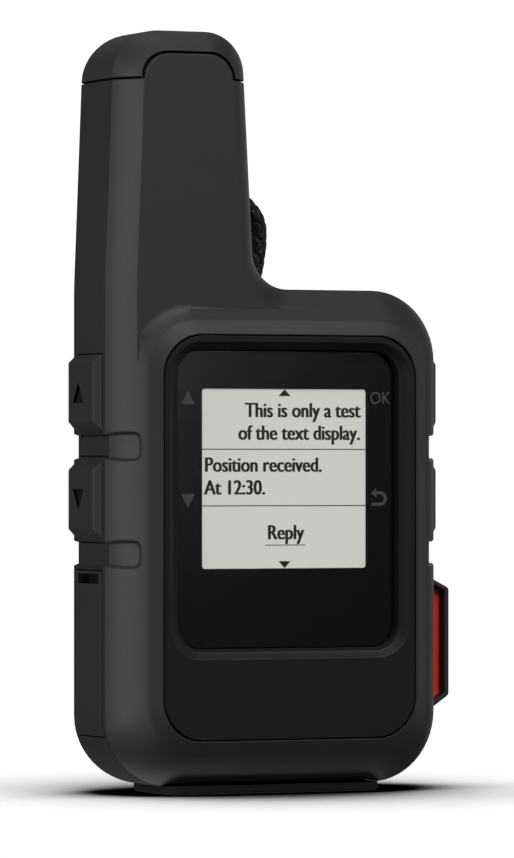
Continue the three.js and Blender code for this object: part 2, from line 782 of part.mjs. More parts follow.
/** The hinged guard over the button: a face, two leaning ends, a rear wall and a knuckle. */
function makeSosGuard() {
  let body = guardShape(0, GUARD_FRONT_Y, GUARD_REAR_Y, GUARD_FOOT_X, GUARD_FACE_X);
  body = body.subtract(
    guardShape(GUARD_WALL + 0.1, -10, GUARD_REAR_Y - 0.6, 20, GUARD_FACE_X - GUARD_WALL),
  );
  const web = prismXY(
    [
      [26, 4.4],
      [27.1, 4.4],
      [27.1, 5.4],
      [25.9, 7.3],
      [HINGE_X, HINGE_Y],
    ],
    14.1,
    24.5,
  );
  body = body.add(web).add(rod("z", KNUCKLE_RADIUS, 14.1, 24.5, [HINGE_X, HINGE_Y], 16));
  return body.subtract(rod("z", PIN_RADIUS + 0.12, 0, 40, [HINGE_X, HINGE_Y], 12));
}

/** The red inner shell of the guard: a face, a front wall and two leaning ends round the button. */
function makeGuardLiner() {
  const outer = guardShape(
    GUARD_WALL + 0.25, LINER_FRONT_Y, 4.1, GUARD_FOOT_X + 0.05, GUARD_FACE_X - GUARD_WALL - 0.1,
  );
  const room = guardShape(
    GUARD_WALL + 1.1, LINER_FRONT_Y + LINER_WALL, 10, 20, GUARD_FACE_X - GUARD_WALL - 0.8,
  );
  return outer.subtract(room);
}

// ---------------------------------------------------------------- the foot, the spine and the cord

/** The foot pad, with a hole round the power key. */
function makeFootPad() {
  const corner = 2.6;
  const outline = [
    [-FOOT_HALF_WIDTH + corner, FOOT_FRONT_Y],
    [FOOT_HALF_WIDTH - corner, FOOT_FRONT_Y],
    [FOOT_HALF_WIDTH, FOOT_FRONT_Y + corner],
    [FOOT_HALF_WIDTH, FOOT_REAR_Y - corner],
    [FOOT_HALF_WIDTH - corner, FOOT_REAR_Y],
    [-FOOT_HALF_WIDTH + corner, FOOT_REAR_Y],
    [-FOOT_HALF_WIDTH, FOOT_REAR_Y - corner],
    [-FOOT_HALF_WIDTH, FOOT_FRONT_Y + corner],
  ];
  const pad = prismXY(outline, 0, FOOT_HEIGHT + FOOT_SINK - GAP);
  return pad.subtract(rod("z", POWER_RADIUS + GAP, -1, 3, [POWER_X, POWER_Y], 20));
}

/** The power key: a disc set back in the pad, with a stem. */
function makePowerKey() {
  const disc = rod("z", POWER_RADIUS, 0.2, 0.7, [POWER_X, POWER_Y], 20);
  return disc.add(rod("z", 1.4, 0.5, 4, [POWER_X, POWER_Y], 16));
}

/** The T-shaped mounting spine, with the cord eye at its top. */
function makeSpine() {
  const front = BACK_Y + GAP;
  const shoulder = front + SPINE_NECK_DEPTH;
  const neck = block(-SPINE_NECK_HALF, SPINE_NECK_HALF, front, shoulder + 0.5, SPINE_BOTTOM, SPINE_TOP);
  const head = plate(
    rectangle([SPINE_HEAD_HALF, SPINE_BOTTOM, SPINE_TOP, 3]), shoulder, REAR_Y,
  );
  const eye = prismYZ(
    [
      [front, SPINE_TOP - 1],
      [REAR_Y, SPINE_TOP - 1],
      [REAR_Y, EYE_Z + 1.2],
      [REAR_Y - 1.4, EYE_Z + 2.9],
      [front + 1.2, EYE_Z + 2.9],
      [front, EYE_Z + 1.6],
    ],
    -EYE_HALF_WIDTH,
    EYE_HALF_WIDTH,
  );
  let body = neck.add(head).add(eye);
  const gap = EYE_HALF_GAP;
  body = body.subtract(block(-20, 20, 5, EYE_BAR_Y, EYE_Z - gap, EYE_Z + gap));
  for (const z of SPINE_SCREW_Z) {
    body = body.subtract(rod("y", 1, 5, 20, [0, z], 12));
    body = body.subtract(rod("y", 2.2, REAR_Y - 1.8, 20, [0, z], 16));
  }
  return body;
}

/** The cord: one tube through the eye, from the knot back to the knot. */
function makeCord() {
  const curve = new THREE.CatmullRomCurve3(
    CORD_ROUTE.map(([x, z]) => new THREE.Vector3(x, CORD_Y, z)),
  );
  return tube(curve, CORD_RADIUS, 8, 40);
}

/** A round tube along a curve, with flat ends. */
function tube(curve, radius, sides, steps) {
  const section = new THREE.Shape();
  for (let k = 0; k < sides; k++) {
    const a = (2 * Math.PI * k) / sides;
    if (k === 0) section.moveTo(radius, 0);
    else section.lineTo(radius * Math.cos(a), radius * Math.sin(a));
  }
  return solid(
    new THREE.ExtrudeGeometry(section, { steps, extrudePath: curve, bevelEnabled: false }),
  );
}

/** The knot that joins the cord's ends. */
function makeKnot() {
  const { x, y, z, radius, half } = KNOT;
  const profile = [
    [0, -half],
    [radius * 0.55, -half * 0.85],
    [radius * 0.95, -half * 0.4],
    [radius, 0],
    [radius * 0.95, half * 0.4],
    [radius * 0.55, half * 0.85],
    [0, half],
  ];
  const lathe = new THREE.LatheGeometry(profile.map(([r, a]) => new THREE.Vector2(r, a)), 14);
  lathe.rotateX(Math.PI / 2).scale(1.15, 0.65, 1);
  return solid(lathe.translate(x, y, z));
}

// ---------------------------------------------------------------- inside

/** The helical antenna's wire, round its core. */
function makeHelix() {
  const points = [];
  const steps = HELIX_TURNS * 16;
  for (let k = 0; k <= steps; k++) {
    const a = (2 * Math.PI * HELIX_TURNS * k) / steps;
    const [x, y] = [HELIX_X + HELIX_RADIUS * Math.cos(a), HELIX_Y + HELIX_RADIUS * Math.sin(a)];
    points.push(new THREE.Vector3(x, y, 69.5 + (20 * k) / steps));
  }
  return tube(new THREE.CatmullRomCurve3(points), 0.35, 6, steps);
}

/** The main circuit board. */
function makeMainBoard() {
  return block(-17, 17, BOARD_Y, BOARD_Y + BOARD_THICKNESS, 11.2, 56);
}

/** The board behind the keys of one side. */
function makeSideBoard(side, bottom, top) {
  const x0 = side < 0 ? -SIDE_BOARD_X - SIDE_BOARD_THICKNESS : SIDE_BOARD_X;
  return block(x0, x0 + SIDE_BOARD_THICKNESS, -5, 3.4, bottom, top);
}

/** A push switch on a side board. */
function makeSwitch(side, y, z) {
  const inner = side * (SIDE_BOARD_X + SIDE_BOARD_THICKNESS + 0.1);
  const body = turned(
    [
      [0, 0],
      [1.9, 0],
      [1.9, 0.6],
      [1.2, 0.6],
      [1.2, SWITCH_HEIGHT],
      [0, SWITCH_HEIGHT],
    ],
    "x",
    [0, 0, 0],
    12,
  );
  const placed = side < 0 ? body.mirror([1, 0, 0]) : body;
  return placed.translate([inner, y, z]);
}

/** The coaxial lead from the board to the antenna. */
function makeCoax() {
  const curve = new THREE.CatmullRomCurve3([
    new THREE.Vector3(-9, -3.4, 52.6),
    new THREE.Vector3(-9.4, -3, 55.6),
    new THREE.Vector3(-11, -2, 61),
    new THREE.Vector3(-12.9, -1.4, 65.4),
  ]);
  return tube(curve, 0.7, 8, 12);
}

// ---------------------------------------------------------------- the assembly

const beacon = new THREE.Group();
beacon.name = "beacon";

/** Adds one named piece with its own material. */
function piece(name, body, color, roughness, metalness = 0, extra = {}) {
  const material = new THREE.MeshStandardMaterial({ color, roughness, metalness, ...extra });
  const mesh = new THREE.Mesh(geometryOf(body), material);
  mesh.name = name;
  beacon.add(mesh);
}

const GREY_SHELL = 0x2b2c2e;
const BLACK_SHELL = 0x1c1d1f;
const BLACK_PLASTIC = 0x101113;
const RUBBER = 0x242527;
const RED = 0xb02818;
const BOARD_GREEN = 0x1d4a33;
const STEEL = 0xb8babd;

piece("front_housing", makeFrontHousing(), GREY_SHELL, 0.62);
piece("rear_housing", makeRearHousing(), BLACK_SHELL, 0.65);
piece("antenna_cap", makeAntennaCap(), GREY_SHELL, 0.62);
piece("case_gasket", gasketRing(-0.03), 0x3a3d40, 0.9);
CASE_SCREWS.forEach(([x, z], i) => {
  piece(`case_screw_${i + 1}`, screw(x, z, BACK_Y - 0.3, 15.5, 1.75, SCREW_RADIUS), STEEL, 0.35, 1);
});

piece("display_surround", makeDisplaySurround(), BLACK_PLASTIC, 0.5);
piece("display_lens", makeDisplayLens(), 0x0c0d0e, 0.08, 0, { transparent: true, opacity: 0.4 });
piece("lens_gasket", makeLensGasket(), 0x161616, 0.85);
piece("display_panel", makeDisplayPanel(), 0xcccdc4, 0.3);
piece("display_tray", makeDisplayTray(), 0xd8d8d4, 0.6);
piece("display_flex", makeDisplayFlex(), 0xa06a1e, 0.5);

const upMid = (UPPER_KEY[0] + UPPER_KEY[1]) / 2;
const downMid = (LOWER_KEY[0] + LOWER_KEY[1]) / 2;
piece("up_key", makeSideKey(-1, UPPER_KEY).subtract(arrowCut(upMid, 1)), RUBBER, 0.75);
piece("down_key", makeSideKey(-1, LOWER_KEY).subtract(arrowCut(downMid, -1)), RUBBER, 0.75);
piece("ok_key", makeSideKey(1, UPPER_KEY), RUBBER, 0.75);
piece("back_key", makeSideKey(1, LOWER_KEY), RUBBER, 0.75);

piece("port_cover", makePortCover(), RUBBER, 0.8);
piece("charging_port", makePort(), STEEL, 0.35, 1);

piece("sos_base", makeSosBase(), BLACK_PLASTIC, 0.55);
piece("sos_button", makeSosButton(), RED, 0.5);
piece("sos_guard", makeSosGuard(), GREY_SHELL, 0.6);
piece("sos_guard_liner", makeGuardLiner(), RED, 0.5);
piece("sos_hinge_pin", rod("z", PIN_RADIUS, GUARD_BOTTOM + 0.1, GUARD_TOP - 0.1,
  [HINGE_X, HINGE_Y], 12), STEEL, 0.3, 1);

piece("foot_pad", makeFootPad(), RUBBER, 0.85);
piece("power_key", makePowerKey(), RUBBER, 0.8);
piece("power_switch", block(7.4, 10.6, -4.4, -0.6, 4.65, 5.8), 0x9a9c9e, 0.4, 0.6);

piece("mounting_spine", makeSpine(), BLACK_PLASTIC, 0.55);
SPINE_SCREW_Z.forEach((z, i) => {
  piece(`spine_screw_${i + 1}`, screw(0, z, REAR_Y - 0.6, 5.6, 2.05, 0.8), STEEL, 0.35, 1);
});
piece("lanyard_cord", makeCord(), 0x0d0d0e, 0.95);
piece("lanyard_knot", makeKnot(), 0x0d0d0e, 0.95);

piece("main_board", makeMainBoard(), BOARD_GREEN, 0.5);
piece("modem_shield", block(-15, 2, -4.4, -2.7, 34, 52), STEEL, 0.4, 1);
piece("processor_shield", block(-13, 8, -4.4, -2.7, 12.6, 30), STEEL, 0.4, 1);
piece("gps_patch", block(4, 16, -4.4, -0.4, 43.9, 55.9), 0xd9cfb4, 0.7);
piece("battery_pack", block(-15.4, 15.4, -2.4, 4.6, 11.5, 43.5), 0x2d5fa0, 0.45);
piece("battery_foam", block(-14, 14, 4.8, 6.1, 13, 42), 0x30312f, 0.98);
piece("battery_lead", block(-14, -11, -1.8, 0.4, 43.8, 50), 0xa8221c, 0.6);
piece("left_key_board", makeSideBoard(-1, 30.5, 58), BOARD_GREEN, 0.5);
piece("right_key_board", makeSideBoard(1, 12, 58), BOARD_GREEN, 0.5);
const keyY = (KEY_FRONT_Y + KEY_REAR_Y) / 2 + 0.3;
piece("up_switch", makeSwitch(-1, keyY, upMid), STEEL, 0.35, 1);
piece("down_switch", makeSwitch(-1, keyY, downMid), STEEL, 0.35, 1);
piece("ok_switch", makeSwitch(1, keyY, upMid), STEEL, 0.35, 1);
piece("back_switch", makeSwitch(1, keyY, downMid), STEEL, 0.35, 1);
piece("sos_switch", makeSwitch(1, SOS_Y, SOS_Z), STEEL, 0.35, 1);
piece("buzzer", rod("y", 4, -4.3, -1.6, [-4, 61], 20), 0x151515, 0.5);

piece("antenna_board", block(-18.6, -7.2, -6, 3.2, 66, 66.8), BOARD_GREEN, 0.5);
piece("antenna_core", rod("z", 6, 67, 91, [HELIX_X, HELIX_Y], 24), 0xe6e2d6, 0.6);
piece("antenna_helix", makeHelix(), 0xb8763a, 0.35, 1);
piece("antenna_coax", makeCoax(), 0x6b5a3c, 0.5);

export default beacon;
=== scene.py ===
"""The looks of a handheld satellite emergency beacon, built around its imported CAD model.

Frame: +X is the viewer's right, -Y the front, +Z up. Shapes are worked out in millimetres and
scaled to metres when a piece is finished.
"""
import json
import math

import bpy
import numpy as np
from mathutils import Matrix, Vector


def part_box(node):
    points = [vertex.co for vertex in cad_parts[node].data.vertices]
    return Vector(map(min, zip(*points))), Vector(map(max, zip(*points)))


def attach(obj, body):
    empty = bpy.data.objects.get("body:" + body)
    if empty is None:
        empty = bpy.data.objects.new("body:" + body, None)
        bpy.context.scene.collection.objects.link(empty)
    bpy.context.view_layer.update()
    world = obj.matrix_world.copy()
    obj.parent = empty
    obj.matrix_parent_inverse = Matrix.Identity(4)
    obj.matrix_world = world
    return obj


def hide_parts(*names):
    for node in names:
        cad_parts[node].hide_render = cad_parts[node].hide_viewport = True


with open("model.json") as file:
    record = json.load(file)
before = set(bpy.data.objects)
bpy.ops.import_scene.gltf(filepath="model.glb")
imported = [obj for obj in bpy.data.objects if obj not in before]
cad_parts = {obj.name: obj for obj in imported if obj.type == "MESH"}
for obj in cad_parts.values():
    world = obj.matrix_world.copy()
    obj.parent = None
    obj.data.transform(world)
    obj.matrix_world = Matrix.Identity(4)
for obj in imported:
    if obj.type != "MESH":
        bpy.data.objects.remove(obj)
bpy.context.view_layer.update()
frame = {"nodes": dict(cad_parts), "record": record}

MM = 0.001
SIDE_VIEW = math.radians(24)  # the camera stands this far round to the left
CAMERA_DISTANCE = 0.78
CAMERA_HEIGHT = 0.0427
SENSOR_WIDTH = 36
FOCAL_LENGTH = 248.7
CAMERA_SHIFT = (0.0079, 0.042)


def span(node):
    """A CAD node's lowest and highest corners, in millimetres."""
    low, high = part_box(node)
    return np.array(low) / MM, np.array(high) / MM


# ------------------------------------------------------------------ camera and cord

def make_camera():
    data = bpy.data.cameras.new("camera")
    data.sensor_width = SENSOR_WIDTH
    data.lens = FOCAL_LENGTH
    data.shift_x, data.shift_y = CAMERA_SHIFT
    data.clip_start, data.clip_end = 0.05, 20
    camera = bpy.data.objects.new("camera", data)
    x, y = -math.sin(SIDE_VIEW) * CAMERA_DISTANCE, -math.cos(SIDE_VIEW) * CAMERA_DISTANCE
    camera.location = (x, y, CAMERA_HEIGHT)
    camera.rotation_euler = (math.pi / 2, 0, -SIDE_VIEW)
    bpy.context.scene.collection.objects.link(camera)
    bpy.context.scene.camera = camera


make_camera()

CORD_Y = 0.01035
CORD_ROUTE = [  # x, z in metres, from the knot through the eye of the spine and back
    (-0.00905, 0.08545), (-0.0112, 0.0828), (-0.0126, 0.0785), (-0.0126, 0.074),
    (-0.0112, 0.0695), (-0.0086, 0.0652), (-0.0056, 0.0622), (-0.0022, 0.0606),
    (-0.0004, 0.06055), (0.0019, 0.0612), (0.0036, 0.06285), (0.0043, 0.065),
    (0.00485, 0.0674), (0.0054, 0.07), (0.00572, 0.0728), (0.00545, 0.0753),
    (0.004, 0.0772), (0.0019, 0.0787), (0.0003, 0.0806), (-0.0009, 0.083),
    (-0.00295, 0.08545),
]
CORD_RADIUS = 1.2
KNOT_YARN_RADIUS = 1.15
INTO_KNOT = (-0.8, 0.95)  # from the route's last point, so that the cord's end lies in the knot
STRANDS = 5  # yarns each way round the braided sheath
BRAID_PITCH = 2.3
BRAID_RELIEF = 0.24  # how deep the braid is carved, as a share of the radius
RING_STEP = 0.14


def smooth_path(points, step):
    """A Catmull-Rom curve through the points, at even steps."""
    p = np.array(points, float)
    p = np.vstack([2 * p[0] - p[1], p, 2 * p[-1] - p[-2]])
    t = np.linspace(0, 1, 24, endpoint=False)[:, None]
    parts = []
    for a, b, c, d in zip(p, p[1:], p[2:], p[3:]):
        parts.append(0.5 * (2 * b + (c - a) * t + (2 * a - 5 * b + 4 * c - d) * t**2
                            + (3 * b - a - 3 * c + d) * t**3))
    fine = np.vstack(parts + [p[-2:-1]])
    run = np.concatenate([[0], np.cumsum(np.linalg.norm(np.diff(fine, axis=0), axis=1))])
    even = np.linspace(0, run[-1], max(8, int(run[-1] / step)))
    return np.column_stack([np.interp(even, run, fine[:, k]) for k in range(3)]), run[-1]


def braid_height(angle, run):
    """0 to 1: two crossing sets of yarns, each passing over one and under the next."""
    a = STRANDS * angle + 2 * math.pi * run / BRAID_PITCH
    b = STRANDS * angle - 2 * math.pi * run / BRAID_PITCH
    first_on_top = (np.round(a / (2 * math.pi)) + np.round(b / (2 * math.pi))) % 2 == 0
    return np.sqrt(np.abs(np.where(first_on_top, np.cos(a / 2), np.cos(b / 2))))


def braided_tube(path, radius, closed=False, sides=54):
    """Rings of points round a path, carved as a braid."""
    ahead = np.roll(path, -1, 0) - np.roll(path, 1, 0)
    if not closed:
        ahead[0], ahead[-1] = path[1] - path[0], path[-1] - path[-2]
    ahead /= np.linalg.norm(ahead, axis=1)[:, None]
    side = np.cross(ahead, [0, 1, 0])
    side /= np.maximum(np.linalg.norm(side, axis=1), 1e-9)[:, None]
    up = np.cross(side, ahead)
    run = np.concatenate([[0], np.cumsum(np.linalg.norm(np.diff(path, axis=0), axis=1))])
    angle = np.linspace(0, 2 * math.pi, sides, endpoint=False)
    r = radius * (1 - BRAID_RELIEF + BRAID_RELIEF * braid_height(angle[None, :], run[:, None]))
    ring = np.cos(angle)[None, :, None] * side[:, None] + np.sin(angle)[None, :, None] * up[:, None]
    return [path[i] + ring[i] * r[i][:, None] for i in range(len(path))]


# ------------------------------------------------------------------ solids, in millimetres

def made(points, faces):
    """A new object from points in millimetres, with its faces pointing out."""
    points = np.asarray(points, float)
    volume = 0.0
    for f in faces:
        a = points[f[0]]
        for i in range(1, len(f) - 1):
            volume += np.dot(a, np.cross(points[f[i]], points[f[i + 1]]))
    if volume < 0:
        faces = [tuple(reversed(f)) for f in faces]
    mesh = bpy.data.meshes.new("solid")
    mesh.from_pydata([tuple(p) for p in points], [], [tuple(int(k) for k in f) for f in faces])
    obj = bpy.data.objects.new("solid", mesh)
    bpy.context.scene.collection.objects.link(obj)
    return obj


def stack(rings, closed=False):
    """A solid skinned over rings that have the same number of points."""
    count, levels = len(rings[0]), len(rings)
    faces = []
    for level in range(levels if closed else levels - 1):
        here, there = level * count, ((level + 1) % levels) * count
        for i in range(count):
            j = (i + 1) % count
            faces.append((here + i, here + j, there + j, there + i))
    if not closed:
        faces.append(tuple(range(count))[::-1])
        faces.append(tuple((levels - 1) * count + i for i in range(count)))
    return made(np.vstack(rings), faces)


def baked(obj):
    """Applies an object's modifiers to its mesh."""
    graph = bpy.context.evaluated_depsgraph_get()
    mesh = bpy.data.meshes.new_from_object(obj.evaluated_get(graph))
    old = obj.data
    obj.modifiers.clear()
    obj.data = mesh
    bpy.data.meshes.remove(old)
    return obj


def combined(a, b, operation):
    """a joined with, cut by or limited to b, which is used up."""
    modifier = a.modifiers.new("boolean", "BOOLEAN")
    modifier.operation = operation
    modifier.solver = "MANIFOLD"
    modifier.object = b
    baked(a)
    bpy.data.objects.remove(b)
    return a


def joined(a, *others):
    for b in others:
        combined(a, b, "UNION")
    return a


def cut(a, *others):
    for b in others:
        combined(a, b, "DIFFERENCE")
    return a


def limited(a, b):
    return combined(a, b, "INTERSECT")


def bevelled(obj, width, segments=3, angle=30):
    """Rounds the edges of a solid."""
    modifier = obj.modifiers.new("bevel", "BEVEL")
    modifier.width = width
    modifier.segments = segments
    modifier.angle_limit = math.radians(angle)
    modifier.harden_normals = False
    return baked(obj)


def block(x0, x1, y0, y1, z0, z1):
    (x0, x1), (y0, y1), (z0, z1) = sorted((x0, x1)), sorted((y0, y1)), sorted((z0, z1))
    return taper("z", (z0, x0, x1, y0, y1), (z1, x0, x1, y0, y1))


def placed(axis, place, a, b):
    """The coordinates of something at this place along an axis, and at a and b across it."""
    return {"x": (place, a, b), "y": (a, place, b), "z": (a, b, place)}[axis]


def taper(axis, *sections):
    """A block that tapers along an axis. A section is [place, low, high, low, high]."""
    rings = []
    for place, a0, a1, b0, b1 in sections:
        corners = [(a0, b0), (a1, b0), (a1, b1), (a0, b1)]
        rings.append(np.array([placed(axis, place, a, b) for a, b in corners]))
    return stack(rings)


def turned(profile, axis, centre, sides=48):
    """A turned solid: the profile is [radius, place along the axis]."""
    angle = np.linspace(0, 2 * math.pi, sides, endpoint=False)
    rings = []
    for radius, place in profile:
        a, b = centre[0] + radius * np.cos(angle), centre[1] + radius * np.sin(angle)
        rings.append(np.column_stack(placed(axis, np.full(sides, float(place)), a, b)))
    return stack(rings)


def rod(axis, radius, start, end, centre, sides=48):
    return turned([(radius, start), (radius, end)], axis, centre, sides)


def prism(axis, outline, start, end):
    """An outline of points extruded along an axis."""
    return stack([np.array([placed(axis, place, a, b) for a, b in outline])
                  for place in (start, end)])


# ------------------------------------------------------------------ outlines

DETAIL = 14  # steps in a quarter turn
SHARPEST = 0.4  # no corner of an outline has a smaller radius


def cross(a, b):
    return a[0] * b[1] - a[1] * b[0]


def unit(v):
    return v / np.linalg.norm(v)


def ring(corners, inset=0.0, extra=0.0, steps=DETAIL):
    """An outline's points. Each corner is [x, z, radius, change of radius per mm drawn in,
    widening of the side that follows it]."""
    count = len(corners)
    starts, ways = [], []
    for i, (x, z, _, _, widening) in enumerate(corners):
        way = unit(np.array(corners[(i + 1) % count][:2], float) - (x, z))
        inward = np.array([-way[1], way[0]])
        starts.append(np.array([x, z], float) + inward * (inset * widening + extra))
        ways.append(way)
    sharp = []
    for i, (_, _, radius, change, _) in enumerate(corners):
        bend = cross(ways[i - 1], ways[i])
        far = cross(starts[i] - starts[i - 1], ways[i]) / bend
        at = starts[i - 1] + ways[i - 1] * far
        sharp.append((at, max(SHARPEST, radius + change * inset - math.copysign(extra, bend))))
    points = []
    for i, (at, radius) in enumerate(sharp):
        back, ahead = unit(sharp[i - 1][0] - at), unit(sharp[(i + 1) % count][0] - at)
        turn = math.copysign(1, cross(ahead, back))
        half = math.acos(max(-1.0, min(1.0, float(back @ ahead)))) / 2
        centre = at + unit(back + ahead) * radius / math.sin(half)
        sweep = math.pi - 2 * half
        pieces = max(1, round(steps * sweep / (math.pi / 2)))
        for k in range(pieces + 1):
            a = turn * sweep * k / pieces
            spoke = np.array([back[1] * math.cos(a) + back[0] * math.sin(a),
                              back[1] * math.sin(a) - back[0] * math.cos(a)])
            points.append(centre - spoke * radius * turn)
    return np.array(points)


def at_y(points, y):
    return np.column_stack([points[:, 0], np.broadcast_to(y, len(points)), points[:, 1]])


def at_z(points, z):
    return np.column_stack([points[:, 0], points[:, 1], np.broadcast_to(z, len(points))])


def box_corners(x0, x1, z0, z1, radius):
    return [(x0, z0, radius, 0, 1), (x1, z0, radius, 0, 1),
            (x1, z1, radius, 0, 1), (x0, z1, radius, 0, 1)]


def rectangle(half, bottom, top, radius):
    return box_corners(-half, half, bottom, top, radius)


def plate(corners, y0, y1, extra=0.0, steps=DETAIL):
    return stack([at_y(ring(corners, 0, extra, steps), y) for y in (y0, y1)])


# ------------------------------------------------------------------ driving dimensions

case_low, case_high = span("rear_housing")

HALF_WIDTH = case_high[0]
FRONT_Y = span("front_housing")[0][1]
REAR_Y = -FRONT_Y
BACK_Y = case_high[1]
TOTAL_HEIGHT = span("antenna_cap")[1][2]
FOOT_HEIGHT = case_low[2]
BODY_TOP = 65.65
BODY_CORNER = 9
WALL = 1.8
GAP = 0.15
SEAM = 0.3
PARTING = 0.1
SIDE_FRONT_Y = -6.5
SIDE_REAR_Y = 2
BODY_HOLLOW_Y = -7.9
ARC_RADIUS = 13.17
ARC_START = math.radians(71)
BAND_Y = -12.15
BAND_WIDTH = 1.55
END_WIDENING = 1.11
TIGHTEN = -0.6
PANEL_Y = -11.1
REAR_ROLL_INSET = 4.85
GROOVE_REAR_Y = 8.1
GROOVE_DEPTH = 0.66
CAP_SEAM_Z = 92.55
TONGUE_LEFT, TONGUE_RIGHT, TONGUE_TOP = -19.8, -7.2, 95.9  # the front's tongue in the cap
TONGUE_DEPTH = 1.8
AHEAD, ASIDE, ABOVE, BELOW = -20, 30, 110, -5  # cutters that end here are clear of the case

WHOLE = [
    (-HALF_WIDTH, FOOT_HEIGHT, BODY_CORNER, TIGHTEN, END_WIDENING),
    (HALF_WIDTH, FOOT_HEIGHT, BODY_CORNER, TIGHTEN, 1),
    (HALF_WIDTH, BODY_TOP, BODY_CORNER, TIGHTEN, END_WIDENING),
    (-2.37, BODY_TOP, 5, 0.5, 1.2),
    (-4.15, TOTAL_HEIGHT, 5.5, TIGHTEN, 1),
    (-22.23, TOTAL_HEIGHT, 6.5, TIGHTEN, 1),
    (-HALF_WIDTH, BODY_TOP, 40, 0, 1),
]
BODY_ONLY = WHOLE[:3] + [(-HALF_WIDTH, BODY_TOP, BODY_CORNER, TIGHTEN, 1)]
SURROUND = (17.8, 7.2, 59.4, 5.5)
RING = (17.1, 17.65, 58.55, 4.8)
LENS = (15.6, 19.05, 57.5, 3.6)


def front_inset(y):
    """How far the front edge is drawn in at depth y."""
    a = math.acos(math.cos(ARC_START) + (SIDE_FRONT_Y - y) / ARC_RADIUS)
    return ARC_RADIUS * (math.sin(ARC_START) - math.sin(a))


def front_depth(inset):
    """The depth of the front edge where it is drawn in that far."""
    a = math.asin(math.sin(ARC_START) - inset / ARC_RADIUS)
    return SIDE_FRONT_Y - ARC_RADIUS * (math.cos(a) - math.cos(ARC_START))


def front_edge(y, steps):
    depths = np.linspace(SIDE_FRONT_Y, y, steps + 1)
    return [(d, front_inset(d)) for d in depths]


def rear_edge(steps):
    depth = BACK_Y - SIDE_REAR_Y
    return [(SIDE_REAR_Y + depth * math.sin(a), REAR_ROLL_INSET * (1 - math.cos(a)))
            for a in np.linspace(0, math.pi / 2, steps + 1)]


def rolled(corners, profile, extra=0.0, steps=DETAIL):
    return stack([at_y(ring(corners, inset, extra, steps), y) for y, inset in profile])


def rolled_evenly(corners, profile, extra=0.0, steps=DETAIL):
    return stack([at_y(ring(corners, 0, inset + extra, steps), y) for y, inset in profile])


FILLET = 0.9  # how softly the tower's front meets the body's top edge


def inside_depth(points, outline):
    """How far each point lies inside an outline. It is negative outside."""
    start, end = outline, np.roll(outline, -1, 0)
    way = end - start
    off = points[:, None] - start[None]
    share = np.clip((off * way).sum(2) / np.maximum((way * way).sum(1), 1e-12), 0, 1)
    distance = np.linalg.norm(off - share[..., None] * way, axis=2).min(1)
    x, z = points[:, :1], points[:, 1:]
    between = (start[:, 1] > z) != (end[:, 1] > z)
    rise = np.where(way[:, 1] == 0, 1e-12, way[:, 1])
    crossing = between & (x < way[:, 0] * (z - start[:, 1]) / rise + start[:, 0])
    return np.where(crossing.sum(1) % 2 == 1, distance, -distance)


def smooth_step(low, high, value):
    t = np.clip((value - low) / (high - low), 0, 1)
    return t * t * (3 - 2 * t)


def face_form(extra=0.0):
    """The raised frame round the display. It rises from the tower's front in a soft fillet."""
    meeting = front_inset(PANEL_Y)
    reach = np.array([0.84, 0.66, 0.48, 0.32, 0.16, 0.0, -0.16, -0.32])
    panel = ring(WHOLE, meeting, extra)
    tower = smooth_step(0.02, 0.5, inside_depth(ring(BODY_ONLY, meeting - 0.4, extra), panel))
    insets = np.concatenate([meeting - reach, np.linspace(meeting + 0.45, front_inset(BAND_Y), 5)])
    rings = [at_y(ring(BODY_ONLY, insets[0], extra), SIDE_FRONT_Y - 2.6)]
    for inset in insets:
        points = ring(BODY_ONLY, inset, extra)
        arc = -front_depth(inset)
        hidden = 0.3 if inset < meeting - 0.01 else 0.0
        gap = abs(arc + PANEL_Y)
        soft = max(arc, -PANEL_Y) + max(FILLET - gap, 0) ** 2 / (4 * FILLET)
        sunk = 0.03 if inset == insets[0] else 0.0
        rings.append(at_y(points, -(tower * (soft - sunk) + (1 - tower) * (arc - hidden))))
    rings.append(at_y(ring(BODY_ONLY, front_inset(BAND_Y) + BAND_WIDTH, extra), FRONT_Y))
    return stack(rings)


def front_form(extra=0.0):
    edge = front_edge(PANEL_Y, 14)
    return joined(rolled(WHOLE, edge, extra), face_form(extra))


def rear_form(extra=0.0):
    return rolled_evenly(WHOLE, [(SIDE_FRONT_Y, 0)] + rear_edge(14), extra)


def whole_form(extra=0.0):
    return joined(front_form(extra), rear_form(extra))


def hollow():
    """The space inside both shells."""
    front = [(SIDE_FRONT_Y, 0), (PANEL_Y + WALL, front_inset(PANEL_Y + WALL))]
    tower = limited(rolled(WHOLE, front, WALL, 6),
                    block(-ASIDE, 5, AHEAD, 0, BODY_TOP - WALL - 1, ABOVE))
    body = rolled(BODY_ONLY, [(SIDE_FRONT_Y, 0), (BODY_HOLLOW_Y, front_inset(BODY_HOLLOW_Y))],
                  WALL, 6)
    rear = rolled_evenly(WHOLE, [(SIDE_FRONT_Y, 0), (SIDE_REAR_Y, 0), (SIDE_REAR_Y + 2.2, 0.9),
                                 (BACK_Y - WALL, REAR_ROLL_INSET - 2)], WALL, 6)
    return joined(tower, body, rear)


def cap_space(grow):
    """All that lies above the cap's seam, but for the front's tongue."""
    above = block(-ASIDE, 10, AHEAD, 20, CAP_SEAM_Z - grow, ABOVE)
    left, right, top = TONGUE_LEFT + grow, TONGUE_RIGHT - grow, TONGUE_TOP - grow
    tongue = [(left, 80, 1, 0, 1), (right, 80, 1, 0, 1),
              (right, top, 3.4, 0, 1), (left, top, 3.4, 0, 1)]
    return cut(above, plate(tongue, AHEAD, PANEL_Y + TONGUE_DEPTH - grow))


# ------------------------------------------------------------------ materials

def colour_of(slot):
    """The record's colour for a material slot."""
    found = next(m for m in frame["record"]["materials"] if m["slot"] == slot)
    return tuple(found["base_color"][:3])


